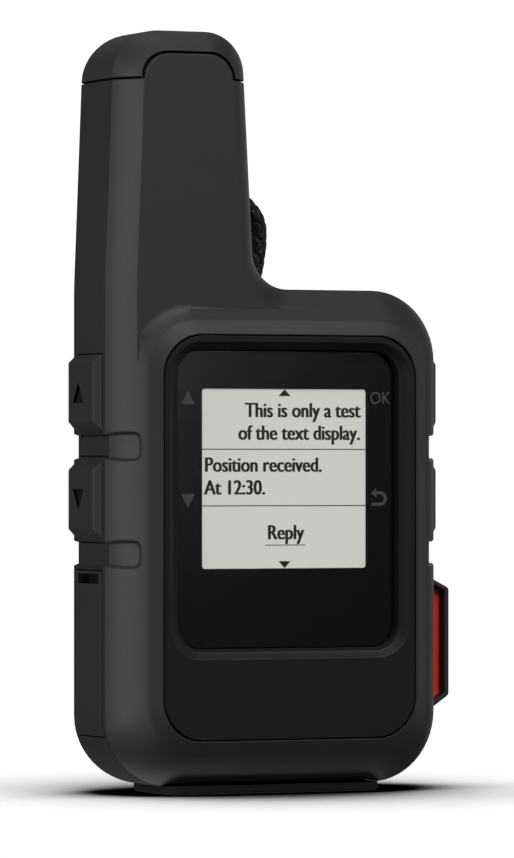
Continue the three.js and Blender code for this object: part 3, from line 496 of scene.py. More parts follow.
def material(name, colour, roughness, grain=5200, bump=0.12, depth=0.00002, metallic=0.0,
             edge=0.0, variation=0.12, roughness_variation=0.07, specular=0.5):
    """Moulded surface: fine grain, broad changes of tone and roughness, and softened edges."""
    mat = bpy.data.materials.new(name)
    mat.use_nodes = True
    nodes, links = mat.node_tree.nodes, mat.node_tree.links
    shader = nodes["Principled BSDF"]
    shader.inputs["Metallic"].default_value = metallic
    shader.inputs["Specular IOR Level"].default_value = specular
    place = nodes.new("ShaderNodeTexCoord").outputs["Object"]

    broad = nodes.new("ShaderNodeTexNoise")
    broad.inputs["Scale"].default_value = 160
    broad.inputs["Detail"].default_value = 5
    links.new(place, broad.inputs["Vector"])
    fine = nodes.new("ShaderNodeTexNoise")
    fine.inputs["Scale"].default_value = grain
    fine.inputs["Detail"].default_value = 3
    links.new(place, fine.inputs["Vector"])

    tone = nodes.new("ShaderNodeMix")
    tone.data_type = "RGBA"
    tone.inputs["A"].default_value = (*[c * (1 - variation) for c in colour], 1)
    tone.inputs["B"].default_value = (*[min(1, c * (1 + variation)) for c in colour], 1)
    links.new(broad.outputs["Fac"], tone.inputs["Factor"])
    links.new(tone.outputs["Result"], shader.inputs["Base Color"])

    polish = nodes.new("ShaderNodeMapRange")
    polish.inputs["To Min"].default_value = max(0.01, roughness - roughness_variation)
    polish.inputs["To Max"].default_value = min(1, roughness + roughness_variation)
    links.new(fine.outputs["Fac"], polish.inputs["Value"])
    links.new(polish.outputs["Result"], shader.inputs["Roughness"])

    relief = nodes.new("ShaderNodeBump")
    relief.inputs["Strength"].default_value = bump
    relief.inputs["Distance"].default_value = depth
    links.new(fine.outputs["Fac"], relief.inputs["Height"])
    if edge:
        soft = nodes.new("ShaderNodeBevel")
        soft.samples = 6
        soft.inputs["Radius"].default_value = edge
        links.new(soft.outputs["Normal"], relief.inputs["Normal"])
    links.new(relief.outputs["Normal"], shader.inputs["Normal"])
    return mat


GREY = material("grey_plastic", (0.028, 0.0285, 0.030), 0.5, edge=0.00025, specular=0.42)
BLACK_CASE = material("black_case_plastic", (0.021, 0.0215, 0.023), 0.55, edge=0.00025,
                      specular=0.4)
BLACK = material("black_plastic", (0.006, 0.006, 0.0065), 0.52, edge=0.0001, specular=0.3)
SOFT = material("key_rubber", (0.021, 0.0215, 0.0225), 0.56, grain=4200, bump=0.2, specular=0.42)
# A near-black material that paints the shade inside recesses.
PAINTED_RECESS_SHADE = material("painted_recess_shade", (0.004, 0.004, 0.0045), 0.8, bump=0.1, specular=0.2)
FOOT = material("foot_rubber", (0.007, 0.007, 0.0075), 0.75, bump=0.25, specular=0.25)
SEAL = material("seal_rubber", colour_of("seal"), 0.8, bump=0.25)
RED = material("red_plastic", (0.9, 0.042, 0.016), 0.42, edge=0.0001, variation=0.06)
STEEL = material("steel", colour_of("steel"), 0.34, grain=2600, metallic=1, bump=0.08)
BLACKENED = 0.12  # the share of steel's brightness that the blackened screws keep
SCREW_STEEL = material("screw_steel", [c * BLACKENED for c in colour_of("steel")], 0.48,
                       grain=2600, metallic=1, bump=0.08)
CORD = material("cord_yarn", (0.003, 0.0034, 0.004), 0.5, grain=9000, bump=0.3, depth=0.00004,
                specular=0.36)
PRINT = material("lens_print", (0.003, 0.003, 0.0034), 0.2, bump=0.02, specular=0.5)
ICON = material("icon_ink", (0.115, 0.098, 0.098), 0.5, bump=0.05)
INK = material("screen_ink", (0.018, 0.02, 0.014), 0.5, bump=0.02)
SCREEN = material("screen_face", (0.62, 0.625, 0.575), 0.5, grain=9000, bump=0.03, variation=0.02)


def paint_glow(mat, colour, strength):
    """Paints a soft glow onto the display's face, as emission."""
    shader = mat.node_tree.nodes["Principled BSDF"]
    shader.inputs["Emission Color"].default_value = (*colour, 1)
    shader.inputs["Emission Strength"].default_value = strength


# The screen's brightness is partly a painted glow.
paint_glow(SCREEN, (1, 1, 0.93), 0.36)


def make_glass():
    """Clear lens plastic: nearly all light passes, and its face is polished."""
    mat = material("lens_clear", (0.01, 0.01, 0.011), 0.16, bump=0.01, roughness_variation=0.02)
    shader = mat.node_tree.nodes["Principled BSDF"]
    shader.inputs["Alpha"].default_value = 0.06
    return mat


GLASS = make_glass()


# ------------------------------------------------------------------ finishing a piece

def finished(obj, name, body, mat, nodes=(), sharp=28, weighted=True):
    """Scales a solid to metres, shades it smoothly, and gives it its place in the model."""
    points = np.zeros(len(obj.data.vertices) * 3)
    obj.data.vertices.foreach_get("co", points)
    obj.data.vertices.foreach_set("co", points * MM)
    obj.name = obj.data.name = name
    obj.data.shade_smooth()
    obj.data.set_sharp_from_angle(angle=math.radians(sharp))
    obj.data.materials.clear()
    obj.data.materials.append(mat)
    if weighted:
        modifier = obj.modifiers.new("weighted", "WEIGHTED_NORMAL")
        modifier.keep_sharp = True
    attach(obj, body)
    if nodes:
        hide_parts(*nodes)
    return obj


def darken(obj, low, high):
    """Gives the painted recess shade material to the faces of a finished piece that lie in a box:
    shade painted into a recess.
    """
    obj.data.materials.append(PAINTED_RECESS_SHADE)
    for face in obj.data.polygons:
        centre = np.array(face.center) / MM
        if np.all(centre > low) and np.all(centre < high):
            face.material_index = 1
    return obj


# ------------------------------------------------------------------ the case

CASE_SCREWS = [(-14, 8.5), (14, 8.5), (15.2, 58.6), (-15.2, 58.6)]
SPINE_SCREW_Z = [18, 46]
BOSS_RADIUS, SCREW_BORE = 2, 1.05
POWER_KEY = (9, -2.2)  # x, y
EMERGENCY = (0.9, 19.5)  # y, z of the emergency button
FOOT_CORNER = 2.6
PORT_OPENING = (-24, -21, -4.7, -1.5, 15.8, 24.2)
PORT_PLUG = (-22.6, -20.7, -3.8, -2.4, 17.1, 22.9)
SHELL_NOTCH = (-24, -22.05, -4.5, 2.2, 27.0, 28.6)  # where a fingernail lifts the port flap
FLAP_NOTCH = (-25, -21.9, -4.6, 2.3, 27.3, 28.6)
# A box inside the port flap's notch whose faces get painted shade.
NOTCH_INSIDE = ((-22.9, -4.7, 26.9), (-21.9, 2.4, 28.7))
GROOVES = [(43.6, 46.56), (29.77, 32.6)]
KEYS = {  # heights of the key at the recess floor, at the side's surface and on its face
    "upper": ((46.5, 57.05), (47.1, 57.05), (48.3, 56.0)),
    "lower": ((32.66, 43.8), (33.25, 43.15), (34.35, 42.05)),
}
key_low, key_high = span("ok_key")
KEY_FACE_X = key_high[0]
KEY_FRONT_Y, KEY_REAR_Y = key_low[1], key_high[1]
KEY_FOOT_X = HALF_WIDTH - GROOVE_DEPTH + 0.02
KEY_FACE_FRONT_Y = -5.25
GROOVE_MIDDLE_Y = -9.3  # where a groove's cutter meets the front edge
GROOVE_TILT = math.radians(56)


def groove(side, low, high):
    """A groove's cutter on the rounded front edge, with walls that lean out and round corners."""
    origin = np.array([side * (HALF_WIDTH - front_inset(GROOVE_MIDDLE_Y)), GROOVE_MIDDLE_Y])
    out = np.array([side * math.sin(GROOVE_TILT), -math.cos(GROOVE_TILT)])
    along = np.array([-side * math.cos(GROOVE_TILT), -math.sin(GROOVE_TILT)])
    rings = []
    for level, radius in ((-1.3, 0.7), (0.6, 1.3)):
        end = 2.95 + 2 * (level + 0.264)
        lean = 0.68 * (level + 0.65)
        corners = [(-3.6, low - lean, 0.05, 0, 1), (end, low - lean, radius, 0, 1),
                   (end, high + lean, radius, 0, 1), (-3.6, high + lean, 0.05, 0, 1)]
        flat = ring(corners, steps=8)
        place = origin + flat[:, :1] * along + level * out
        rings.append(np.column_stack([place[:, 0], place[:, 1], flat[:, 1]]))
    return stack(rings)


def key_recesses(side):
    """The recess and grooves round one side's keys, and the pits that the keys sink into."""
    floor, outside = side * (HALF_WIDTH - 0.9), side * (HALF_WIDTH + 0.6)
    low, high = GROOVES[1][0] + 0.2, KEYS["upper"][0][1] + 0.1
    pocket = taper("x", (floor, KEY_FRONT_Y - GAP, KEY_REAR_Y + GAP, low, high),
                   (outside, KEY_FRONT_Y - GAP, KEY_REAR_Y + GAP, low - 1.3, high))
    around = []
    for z0, z1 in GROOVES:
        around.append(groove(side, z0, z1))
        around.append(block(floor, outside, -7.4, -6, z0, z1))
        around.append(taper("x", (side * 19.5, 3, GROOVE_REAR_Y, z0 + 0.3, z1 - 0.3),
                            (outside, 3, GROOVE_REAR_Y, z0 - 0.45, z1 + 0.45)))
    shape = cut(joined(pocket, *around), whole_form(GROOVE_DEPTH))
    for foot, _, _ in KEYS.values():
        pit = block(side * (HALF_WIDTH - 1.3), side * (HALF_WIDTH - 0.3), KEY_FRONT_Y - GAP,
                    KEY_REAR_Y + GAP, foot[0] - 0.1, foot[1] + 0.1)
        stem = block(side * 21, side * 23, KEY_FRONT_Y + 2.05, KEY_REAR_Y - 1.45,
                     foot[0] + 2.5, foot[1] - 2.1)
        joined(shape, pit, stem)
    return shape


def port_recess():
    """The flap's seat in the rear shell, the port's opening and the notch."""
    low, high = span("port_cover")
    around = block(-ASIDE, -19, low[1] - GAP, high[1] + GAP, low[2] - GAP, high[2] + GAP)
    recess = cut(around, whole_form(1.25))
    return joined(recess, block(*PORT_OPENING), block(*SHELL_NOTCH))


def foot_outline(extra):
    low, high = span("foot_pad")
    return ring(box_corners(low[0], high[0], low[1], high[1], FOOT_CORNER), 0, extra, 8)


def foot_recess():
    flat = foot_outline(-GAP)
    recess = stack([at_z(flat, -1), at_z(flat, FOOT_HEIGHT + 0.35)])
    return joined(recess, rod("z", 1.6, 0, 5, POWER_KEY, 32))


def emergency_hole():
    return rod("x", 3.6, 20, 25, EMERGENCY)


def gasket_groove():
    y0, y1 = SIDE_FRONT_Y - 0.5, SIDE_FRONT_Y + 0.5
    space = cut(plate(WHOLE, y0, y1, 0.9, 6), plate(WHOLE, y0 - 1, y1 + 1, 1.45, 6))
    return cut(space, block(-ASIDE, ASIDE, AHEAD, 20, CAP_SEAM_Z - 0.95, ABOVE))


def make_front_shell():
    body = cut(front_form(), hollow())
    for x, z in CASE_SCREWS:
        joined(body, rod("y", BOSS_RADIUS, PANEL_Y + 2.5, SIDE_FRONT_Y, (x, z), 24))
    half, bottom, top, radius = LENS
    cut(body, plate(rectangle(*SURROUND), AHEAD, -9.15, -GAP))
    cut(body, plate(rectangle(half - 0.6, bottom + 0.6, top - 0.7, radius - 1), AHEAD, -6))
    for x, z in CASE_SCREWS:
        cut(body, rod("y", SCREW_BORE, -8.4, 0, (x, z), 24))
    cut(body, gasket_groove(), key_recesses(-1), key_recesses(1), foot_recess())
    cut(body, block(-ASIDE, ASIDE, SIDE_FRONT_Y - PARTING / 2, 0, BELOW, ABOVE),
        cap_space(SEAM / 2))
    return finished(body, "front_shell", "case", GREY, ["front_housing"], 9)


def make_rear_shell():
    body = cut(rear_form(), hollow())
    for x, z in CASE_SCREWS:
        joined(body, rod("y", BOSS_RADIUS, SIDE_FRONT_Y, BACK_Y - 1, (x, z), 24))
    for x, z in CASE_SCREWS:
        cut(body, rod("y", SCREW_BORE, -10, 10, (x, z), 24),
            rod("y", 1.95, BACK_Y - 1.5, 10, (x, z), 32))
    for z in SPINE_SCREW_Z:
        cut(body, rod("y", 0.95, 5, 10, (0, z), 24))
    cut(body, gasket_groove(), key_recesses(-1), key_recesses(1), foot_recess(), port_recess())
    cut(body, emergency_hole())
    cut(body, block(-ASIDE, ASIDE, AHEAD, SIDE_FRONT_Y + PARTING / 2, BELOW, ABOVE),
        cap_space(SEAM / 2))
    shell = finished(body, "rear_shell", "case", BLACK_CASE, ["rear_housing"], 9)
    # The floor of the notch behind the flap is painted dark, as painted shade.
    return darken(shell, *NOTCH_INSIDE)


def make_cap():
    body = limited(cut(whole_form(), hollow()), cap_space(-SEAM / 2))
    return finished(body, "antenna_top", "case", GREY, ["antenna_cap"], 9)


make_front_shell()
make_rear_shell()
make_cap()


# ------------------------------------------------------------------ the display

LENS_FRONT = FRONT_Y + 1.15
LENS_SEAT_Y = -10.25
PRINT_Y = -10.92
INK_Y = -10.79
MARK_THICKNESS = 0.02
TEXT_HEIGHT = 1.84
BOLD_COPIES, BOLD_STEP = 3, 0.09  # a bold line is copies of itself, each this far to the right
WINDOW = (11.66, 29.28, 52.56, 0.4)


def make_surround():
    outer = [(-9.3, 0), (FRONT_Y + 0.1, 0), (FRONT_Y + 0.03, 0.03), (FRONT_Y, 0.1)]
    body = stack([at_y(ring(rectangle(*SURROUND), 0, extra), y) for y, extra in outer])
    slope = [(-0.12, -0.3), (0.0, -0.12), (0.05, -0.02), (0.14, 0.1), (0.5, 0.62), (0.62, 0.82),
             (0.66, 0.95)]
    step = stack([at_y(ring(rectangle(*RING), 0, extra), FRONT_Y + depth)
                  for depth, extra in slope])
    seat = plate(rectangle(*LENS), AHEAD, LENS_SEAT_Y, -GAP)
    cut(body, step, seat, plate(rectangle(*LENS), AHEAD, 0, 1.3))
    return finished(body, "display_frame", "case", BLACK, ["display_surround"], 40)


def make_lens():
    """The clear lens: a thin polished block with a bevelled edge."""
    corners = rectangle(*LENS)
    levels = [(LENS_FRONT, 0.38), (LENS_FRONT + 0.03, 0.22), (LENS_FRONT + 0.1, 0.08),
              (LENS_FRONT + 0.25, 0), (LENS_FRONT + 0.9, 0)]
    body = stack([at_y(ring(corners, 0, extra), y) for y, extra in levels])
    return finished(body, "lens_window", "case", GLASS, ["display_lens"], 50)


def make_mask():
    """The black border printed on the back of the lens, open over the screen."""
    body = plate(rectangle(*LENS), PRINT_Y, PRINT_Y + 0.05, 0.05)
    cut(body, plate(rectangle(*WINDOW), AHEAD, 0))
    return finished(body, "lens_border", "case", PRINT)


def flat_piece(name, points, faces, y, mat):
    """A thin flat marking that faces the front."""
    solid = [(x, y, z) for x, z in points] + [(x, y + MARK_THICKNESS, z) for x, z in points]
    n = len(points)
    sides = []
    for face in faces:
        sides.append(tuple(face))
        sides.append(tuple(i + n for i in reversed(face)))
    edges = [(a, b) for face in faces for a, b in zip(face, face[1:] + face[:1])]
    for a, b in edges:
        if (b, a) not in edges:
            sides.append((b, a, a + n, b + n))
    return finished(made(solid, sides), name, "case", mat, weighted=False)


def polygon(name, points, y, mat):
    return flat_piece(name, points, [list(range(len(points)))], y, mat)


def bar(name, x0, x1, z0, z1, y, mat):
    return polygon(name, [(x0, z0), (x1, z0), (x1, z1), (x0, z1)], y, mat)


def text(name, words, x, z, cap_height, y, mat, condense, align="LEFT"):
    """A line of text that faces the front, its capitals this high on the baseline z."""
    curve = bpy.data.curves.new(name, "FONT")
    curve.body = words
    curve.align_x = align
    curve.resolution_u = 4
    sample = bpy.data.curves.new("sample", "FONT")
    sample.body = "H"
    probe = bpy.data.objects.new("sample", sample)
    bpy.context.scene.collection.objects.link(probe)
    bpy.context.view_layer.update()
    scale = cap_height / probe.dimensions.y
    bpy.data.objects.remove(probe)
    obj = bpy.data.objects.new(name, curve)
    bpy.context.scene.collection.objects.link(obj)
    bpy.context.view_layer.update()
    graph = bpy.context.evaluated_depsgraph_get()
    mesh = bpy.data.meshes.new_from_object(obj.evaluated_get(graph))
    bpy.data.objects.remove(obj)
    for vertex in mesh.vertices:
        across, up, _ = vertex.co
        vertex.co = (x + across * scale * condense, y, z + up * scale)
    piece = bpy.data.objects.new(name, mesh)
    bpy.context.scene.collection.objects.link(piece)
    return finished(piece, name, "case", mat, weighted=False)


def make_screen():
    """The face of the display, with a painted glow, and a neutral message on it."""
    half, bottom, top, _ = WINDOW
    body = stack([at_y(ring(rectangle(half + 0.9, bottom - 0.9, top + 0.9, 0.5), 0, 0, 4), y)
                  for y in (-10.75, -10.65)])
    finished(body, "screen_face", "case", SCREEN)
    left, high = -half, top

    def row(name, words, x, down, align="LEFT"):
        for copy in range(BOLD_COPIES):
            text(f"{name}_{copy}", words, left + x + BOLD_STEP * copy, high - down, TEXT_HEIGHT,
                 INK_Y - 0.004 * copy, INK, 0.86, align)

    row("message_line_1", "This is only a test", 22.5, 3.64, "RIGHT")
    row("message_line_2", "of the text display.", 22.5, 6.57, "RIGHT")
    row("message_line_3", "Position received.", 0.3, 10.72)
    row("message_line_4", "At 12:30.", 0.3, 13.67)
    row("menu_word", "Reply", 11.8, 19.5, "CENTER")
    for name, down in (("divider_upper", 7.81), ("divider_lower", 15.14)):
        bar(name, left, -left, high - down - 0.06, high - down + 0.06, INK_Y, INK)
    bar("menu_underline", left + 8.95, left + 14.7, high - 20.3, high - 20.2, INK_Y, INK)
    polygon("scroll_up", [(left + 10.9, high - 0.9), (left + 12.6, high - 0.9),
                          (left + 11.75, high - 0.02)], INK_Y, INK)
    polygon("scroll_down", [(left + 10.9, high - 22.35), (left + 11.75, high - 23.24),
                            (left + 12.6, high - 22.35)], INK_Y, INK)


def stroke(points, width):
    """A flat band of even width along a line, as points and faces."""
    p = np.array(points, float)
    way = np.gradient(p, axis=0)
    way /= np.linalg.norm(way, axis=1)[:, None]
    across = np.column_stack([-way[:, 1], way[:, 0]]) * width / 2
    both = np.vstack([p + across, p - across])
    n = len(p)
    return [tuple(q) for q in both], [[i, i + n, i + n + 1, i + 1] for i in range(n - 1)]


def make_icons():
    """The small marks on the lens beside the keys."""
    y = PRINT_Y - 0.03
    polygon("up_mark", [(-14.62, 50.55), (-12.72, 50.55), (-13.67, 52.24)], y, ICON)
    polygon("down_mark", [(-14.62, 38.97), (-13.67, 37.16), (-12.72, 38.97)], y, ICON)
    text("ok_mark", "OK", 12.2, 50.7, 1.55, y, ICON, 0.9)
    arc = [(13.75 + 0.75 * math.sin(a), 38.32 + 0.75 * math.cos(a))
           for a in np.linspace(0, math.pi, 14)]
    points, faces = stroke([(13.1, 39.07)] + arc + [(12.5, 37.57)], 0.4)
    flat_piece("back_mark", points, faces, y, ICON)
    polygon("back_mark_head", [(12.4, 39.07), (13.15, 38.45), (13.15, 39.69)], y, ICON)


make_surround()
make_lens()
make_mask()
make_screen()
make_icons()


# ------------------------------------------------------------------ the keys

def make_key(node, name, side, place, arrow=0):
    """A side key: a sloped rubber block on a stem. arrow is 1 for up, -1 for down, 0 for none."""
    foot, shoulder, face = KEYS[place]
    sections = [(side * KEY_FOOT_X, KEY_FRONT_Y, KEY_REAR_Y, *foot),
                (side * (HALF_WIDTH - 0.05), KEY_FRONT_Y, KEY_REAR_Y, *shoulder),
                (side * KEY_FACE_X, KEY_FACE_FRONT_Y, KEY_REAR_Y - 0.05, *face)]
    body = bevelled(taper("x", *sections), 0.16, 3, 12)
    if arrow:
        middle = sum(face) / 2
        outline = [(-2.15, middle - 1.4 * arrow), (1.55, middle - 1.4 * arrow),
                   (-0.3, middle + 1.45 * arrow)]
        cut(body, prism("x", outline, side * (KEY_FACE_X - 0.4), side * (KEY_FACE_X + 1)))
    stem = block(side * (KEY_FOOT_X + 0.3), side * 20.9, KEY_FRONT_Y + 2.2, KEY_REAR_Y - 1.6,
                 foot[0] + 2.7, foot[1] - 2.3)
    flange = block(side * 20.6, side * 21.3, KEY_FRONT_Y + 1.5, KEY_REAR_Y - 0.9,
                   foot[0] + 2, foot[1] - 1.6)
    key = finished(joined(body, stem, flange), name, node, SOFT, [node])
    if not arrow:
        return key
    # The arrow's recess is painted dark, as painted shade.
    outer, inner = sorted((side * (KEY_FACE_X - 0.03), side * (KEY_FACE_X - 0.45)))
    return darken(key, (outer, -2.2, sum(face) / 2 - 1.5), (inner, 1.6, sum(face) / 2 + 1.5))


make_key("up_key", "up_button", -1, "upper", 1)
make_key("down_key", "down_button", -1, "lower", -1)
make_key("ok_key", "ok_button", 1, "upper")
make_key("back_key", "back_button", 1, "lower")


# ------------------------------------------------------------------ port cover, emergency button

def make_port_cover():
    low, high = span("port_cover")
    band = block(-ASIDE, -19, low[1], high[1], low[2], high[2])
    flap = cut(limited(band, rear_form()), rear_form(1.1))
    cut(flap, block(*FLAP_NOTCH))
    joined(flap, block(*PORT_PLUG))
    return finished(flap, "port_flap", "port_cover", SOFT, ["port_cover"], 20)


GUARD_FOOT_X = 24.2
guard_low, guard_high = span("sos_guard")
GUARD_FACE_X = guard_high[0]
GUARD_BOTTOM, GUARD_TOP = guard_low[2], guard_high[2]
HINGE = (25.3, 6.4)
KNUCKLE_RADIUS, PIN_BORE = 1.15, 0.62
GUARD_KNUCKLE = (14.1, 24.5)  # from, to
LOWER_ARM_TOP, UPPER_ARM_BOTTOM = 13.8, 24.8


def guard_block(inset, y0, y1, x0, x1):
    def section(x):
        share = (x - GUARD_FOOT_X) / (GUARD_FACE_X - GUARD_FOOT_X)
        return (x, y0, y1, GUARD_BOTTOM + 2 * share + inset, GUARD_TOP - 1.5 * share - inset)
    return taper("x", section(x0), section(x1))


def make_guard():
    body = bevelled(guard_block(0, -4.2, 4.9, GUARD_FOOT_X, GUARD_FACE_X), 0.34, 4)
    cut(body, guard_block(0.7, -10, 4.1, 20, GUARD_FACE_X - 0.75))
    web = prism("z", [(26, 4.4), (27.1, 4.4), (27.1, 5.4), (25.9, 7.3), HINGE], *GUARD_KNUCKLE)
    joined(body, bevelled(web, 0.15, 2), rod("z", KNUCKLE_RADIUS, *GUARD_KNUCKLE, HINGE, 32))
    cut(body, rod("z", PIN_BORE, 0, 40, HINGE, 24))
    finished(body, "emergency_guard", "sos_guard", GREY, ["sos_guard"])
    liner = guard_block(0.75, -2.9, 4.05, GUARD_FOOT_X + 0.05, GUARD_FACE_X - 0.79)
    cut(liner, guard_block(1.6, -2, 10, 20, GUARD_FACE_X - 1.5))
    bevelled(liner, 0.08, 2)
    finished(liner, "guard_lining", "sos_guard", RED, ["sos_guard_liner"])


def make_emergency_base():
    """The plate round the emergency button, with the two arms that hold the guard's pin."""
    base = block(23.67, 24.05, -3.7, 4.6, GUARD_BOTTOM - 0.1, GUARD_TOP + 0.1)
    joined(base, rod("x", 3.45, 21.3, 23.8, EMERGENCY))
    arm = [(22.7, 4.4), (24, 4.4), (24, 5.25), (24.7, 5.35), HINGE, (24.7, 7.4), (22.2, 7.2)]
    for z0, z1 in ((GUARD_BOTTOM, LOWER_ARM_TOP), (UPPER_ARM_BOTTOM, GUARD_TOP)):
        joined(base, prism("z", arm, z0, z1), rod("z", KNUCKLE_RADIUS, z0, z1, HINGE, 32))
    cut(base, cut(rear_form(-0.12), emergency_hole()))
    cut(base, rod("x", 2.65, 22.4, 25, EMERGENCY), rod("x", 1.45, 20, 25, EMERGENCY))
    cut(base, rod("z", PIN_BORE, 0, 40, HINGE, 24))
    finished(base, "emergency_base", "case", BLACK, ["sos_base"])


def make_emergency_button():
    profile = [(1.25, 20.85), (1.25, 23.3), (2.5, 23.3), (2.5, 24.85), (2.42, 25.06),
               (2.24, 25.2), (2.0, 25.25), (1.9, 25.2), (0.05, 25.1)]
    button = turned(profile, "x", EMERGENCY, 64)
    finished(button, "emergency_button", "sos_button", RED, ["sos_button"])


def make_hinge_pin():
    low, high = span("sos_hinge_pin")
    pin = turned([(0.38, low[2]), (0.5, low[2] + 0.12), (0.5, high[2] - 0.12), (0.38, high[2])],
                 "z", HINGE, 24)
    finished(pin, "guard_pin", "case", STEEL, ["sos_hinge_pin"])


make_port_cover()
make_guard()
make_emergency_base()
make_emergency_button()
make_hinge_pin()


# ------------------------------------------------------------------ foot, spine, screws

SPINE_BOTTOM, SPINE_TOP = 13, 56


def make_foot():
    """The foot pad. Its lower edge is bevelled, and grooves run across its underside."""
    low, high = span("foot_pad")
    levels = [(low[2], 0.35), (low[2] + 0.08, 0.14), (low[2] + 0.3, 0), (high[2], 0)]
    pad = stack([at_z(foot_outline(extra), z) for z, extra in levels])
    cut(pad, rod("z", 2.75, -1, 3, POWER_KEY))
    for x in np.arange(-13, 4.5, 1.7):
        cut(pad, block(x - 0.3, x + 0.3, low[1] + 1.6, high[1] - 1.6, -1, low[2] + 0.25))
    finished(pad, "foot_rubber", "case", FOOT, ["foot_pad"])


def make_power_key():
    """The key in the foot, marked with a ring and a bar."""
    x, y = POWER_KEY
    key = joined(turned([(2.35, 0.2), (2.55, 0.28), (2.6, 0.4), (2.6, 0.7)], "z", POWER_KEY),
                 rod("z", 1.4, 0.5, 4, POWER_KEY, 32))
    arc = [(x + 1.15 * math.cos(a), y + 1.15 * math.sin(a))
           for a in np.linspace(math.radians(125), math.radians(415), 40)]
    for line in (arc, [(x, y + 0.3), (x, y + 0.8), (x, y + 1.5)]):
        flat, _ = stroke(line, 0.26)
        half = len(flat) // 2
        joined(key, prism("z", flat[:half] + flat[:half - 1:-1], 0.12, 0.3))
    finished(key, "power_button", "power_key", SOFT, ["power_key"])


def make_spine():
    """The screw-on back plate on its narrower step, with the cord's eye on top."""
    front = BACK_Y + GAP
    shoulder = front + 2.1
    body = joined(block(-5.5, 5.5, front, shoulder + 0.5, SPINE_BOTTOM, SPINE_TOP),
                  bevelled(plate(rectangle(8.8, SPINE_BOTTOM, SPINE_TOP, 3), shoulder, REAR_Y),
                           0.35, 3))
    eye = [(front, 55), (REAR_Y, 55), (REAR_Y, 62), (REAR_Y - 0.25, 62.7), (REAR_Y - 0.8, 63.35),
           (REAR_Y - 1.4, 63.7), (front + 1.2, 63.7), (front + 0.4, 63.3), (front, 62.4)]
    joined(body, bevelled(prism("x", eye, -2, 2), 0.25, 2, 50))
    cut(body, block(-20, 20, 5, 12.1, 58.75, 62.85))
    for z in SPINE_SCREW_Z:
        cut(body, rod("y", 1, 5, 20, (0, z), 32), rod("y", 2.2, REAR_Y - 1.8, 20, (0, z)))
    finished(body, "spine_mount", "case", BLACK, ["mounting_spine"])


def make_screw(node, name, x, z):
    """A pan-head screw with a cross recess."""
    low, high = span(node)
    head, shank = (high[0] - low[0]) / 2, 0.9
    top = high[1]
    profile = [(shank * 0.4, low[1]), (shank, low[1] + 0.8), (shank, top - 1), (head, top - 1),
               (head, top - 0.35), (head * 0.93, top - 0.12), (head * 0.75, top)]
    body = turned(profile, "y", (x, z), 40)
    for wide, tall in ((head * 0.6, 0.2), (0.2, head * 0.6)):
        cut(body, block(x - wide, x + wide, top - 0.5, top + 1, z - tall, z + tall))
    finished(body, name, "case", SCREW_STEEL, [node])


make_foot()
make_power_key()
make_spine()
for number, (x, z) in enumerate(CASE_SCREWS, 1):
    make_screw(f"case_screw_{number}", f"case_fixing_{number}", x, z)
for number, z in enumerate(SPINE_SCREW_Z, 1):
    make_screw(f"spine_screw_{number}", f"spine_fixing_{number}", 0, z)


# ------------------------------------------------------------------ cord and knot

def make_cord():
    """The braided cord on its route, and its knot: a closed braid with three crossings."""
    route = [(x / MM, CORD_Y / MM, z / MM) for x, z in CORD_ROUTE]
    x, y, z = route[-1]
    route.append((x + INTO_KNOT[0], y, z + INTO_KNOT[1]))
    path, length = smooth_path(route, RING_STEP)
    body = stack(braided_tube(path, CORD_RADIUS))
    cord = finished(body, "wrist_cord", "case", CORD, ["lanyard_cord"], 80, False)
    low, high = span("lanyard_knot")
    middle, half = (low + high) / 2, (high - low) / 2
    t = np.linspace(0, 2 * math.pi, 300, endpoint=False)
    shape = np.column_stack([(np.sin(t) + 2 * np.sin(2 * t)) / 2.76, -np.sin(3 * t),
                             (2 * np.cos(2 * t) - np.cos(t) - 0.4) / 2.62])
    knot_path = middle + shape * (half - KNOT_YARN_RADIUS)
    knot_body = stack(braided_tube(knot_path, KNOT_YARN_RADIUS, True), True)
    knot = finished(knot_body, "cord_knot", "case", CORD, ["lanyard_knot"], 80, False)


make_cord()


# ------------------------------------------------------------------ what the case holds

def dress(name, mat):
    node = frame["nodes"][name]
    node.data.materials.clear()
    node.data.materials.append(mat)


def dress_inside():
    board = material("circuit_board", colour_of("circuit_board"), 0.4, grain=3000)
    inside = {
        board: ["main_board", "left_key_board", "right_key_board", "antenna_board"],
        STEEL: ["modem_shield", "processor_shield", "charging_port", "power_switch", "up_switch",
                "down_switch", "ok_switch", "back_switch", "sos_switch"],
        SEAL: ["case_gasket", "lens_gasket", "battery_foam", "buzzer"],
        SCREEN: ["display_panel"],
        material("white_plastic", colour_of("white_plastic"), 0.5): ["display_tray",
                                                                     "antenna_core"],
        material("ceramic", colour_of("ceramic"), 0.65): ["gps_patch"],
        material("polyimide", colour_of("flex"), 0.4): ["display_flex", "antenna_coax"],
        material("battery_wrap", colour_of("battery_wrap"), 0.35): ["battery_pack"],
        material("copper", colour_of("copper"), 0.3, metallic=1): ["antenna_helix"],
        RED: ["battery_lead"],
    }
    for mat, names in inside.items():
        for name in names:
            dress(name, mat)


dress_inside()


# ------------------------------------------------------------------ stage and light

STAGE_GLOW = 1.05
SHADE_REACH = 0.07  # how near, in metres, a thing has to be to darken the floor
OPEN_SKY = (0.5, 0.97)  # the openness at which the floor is black, and at which it is pale
FLOOR_RADIUS, BACKDROP_RADIUS = 3, 3.2
LIGHT_TARGET = (0, 0, 0.045)
SKY_STRENGTH = 0.027


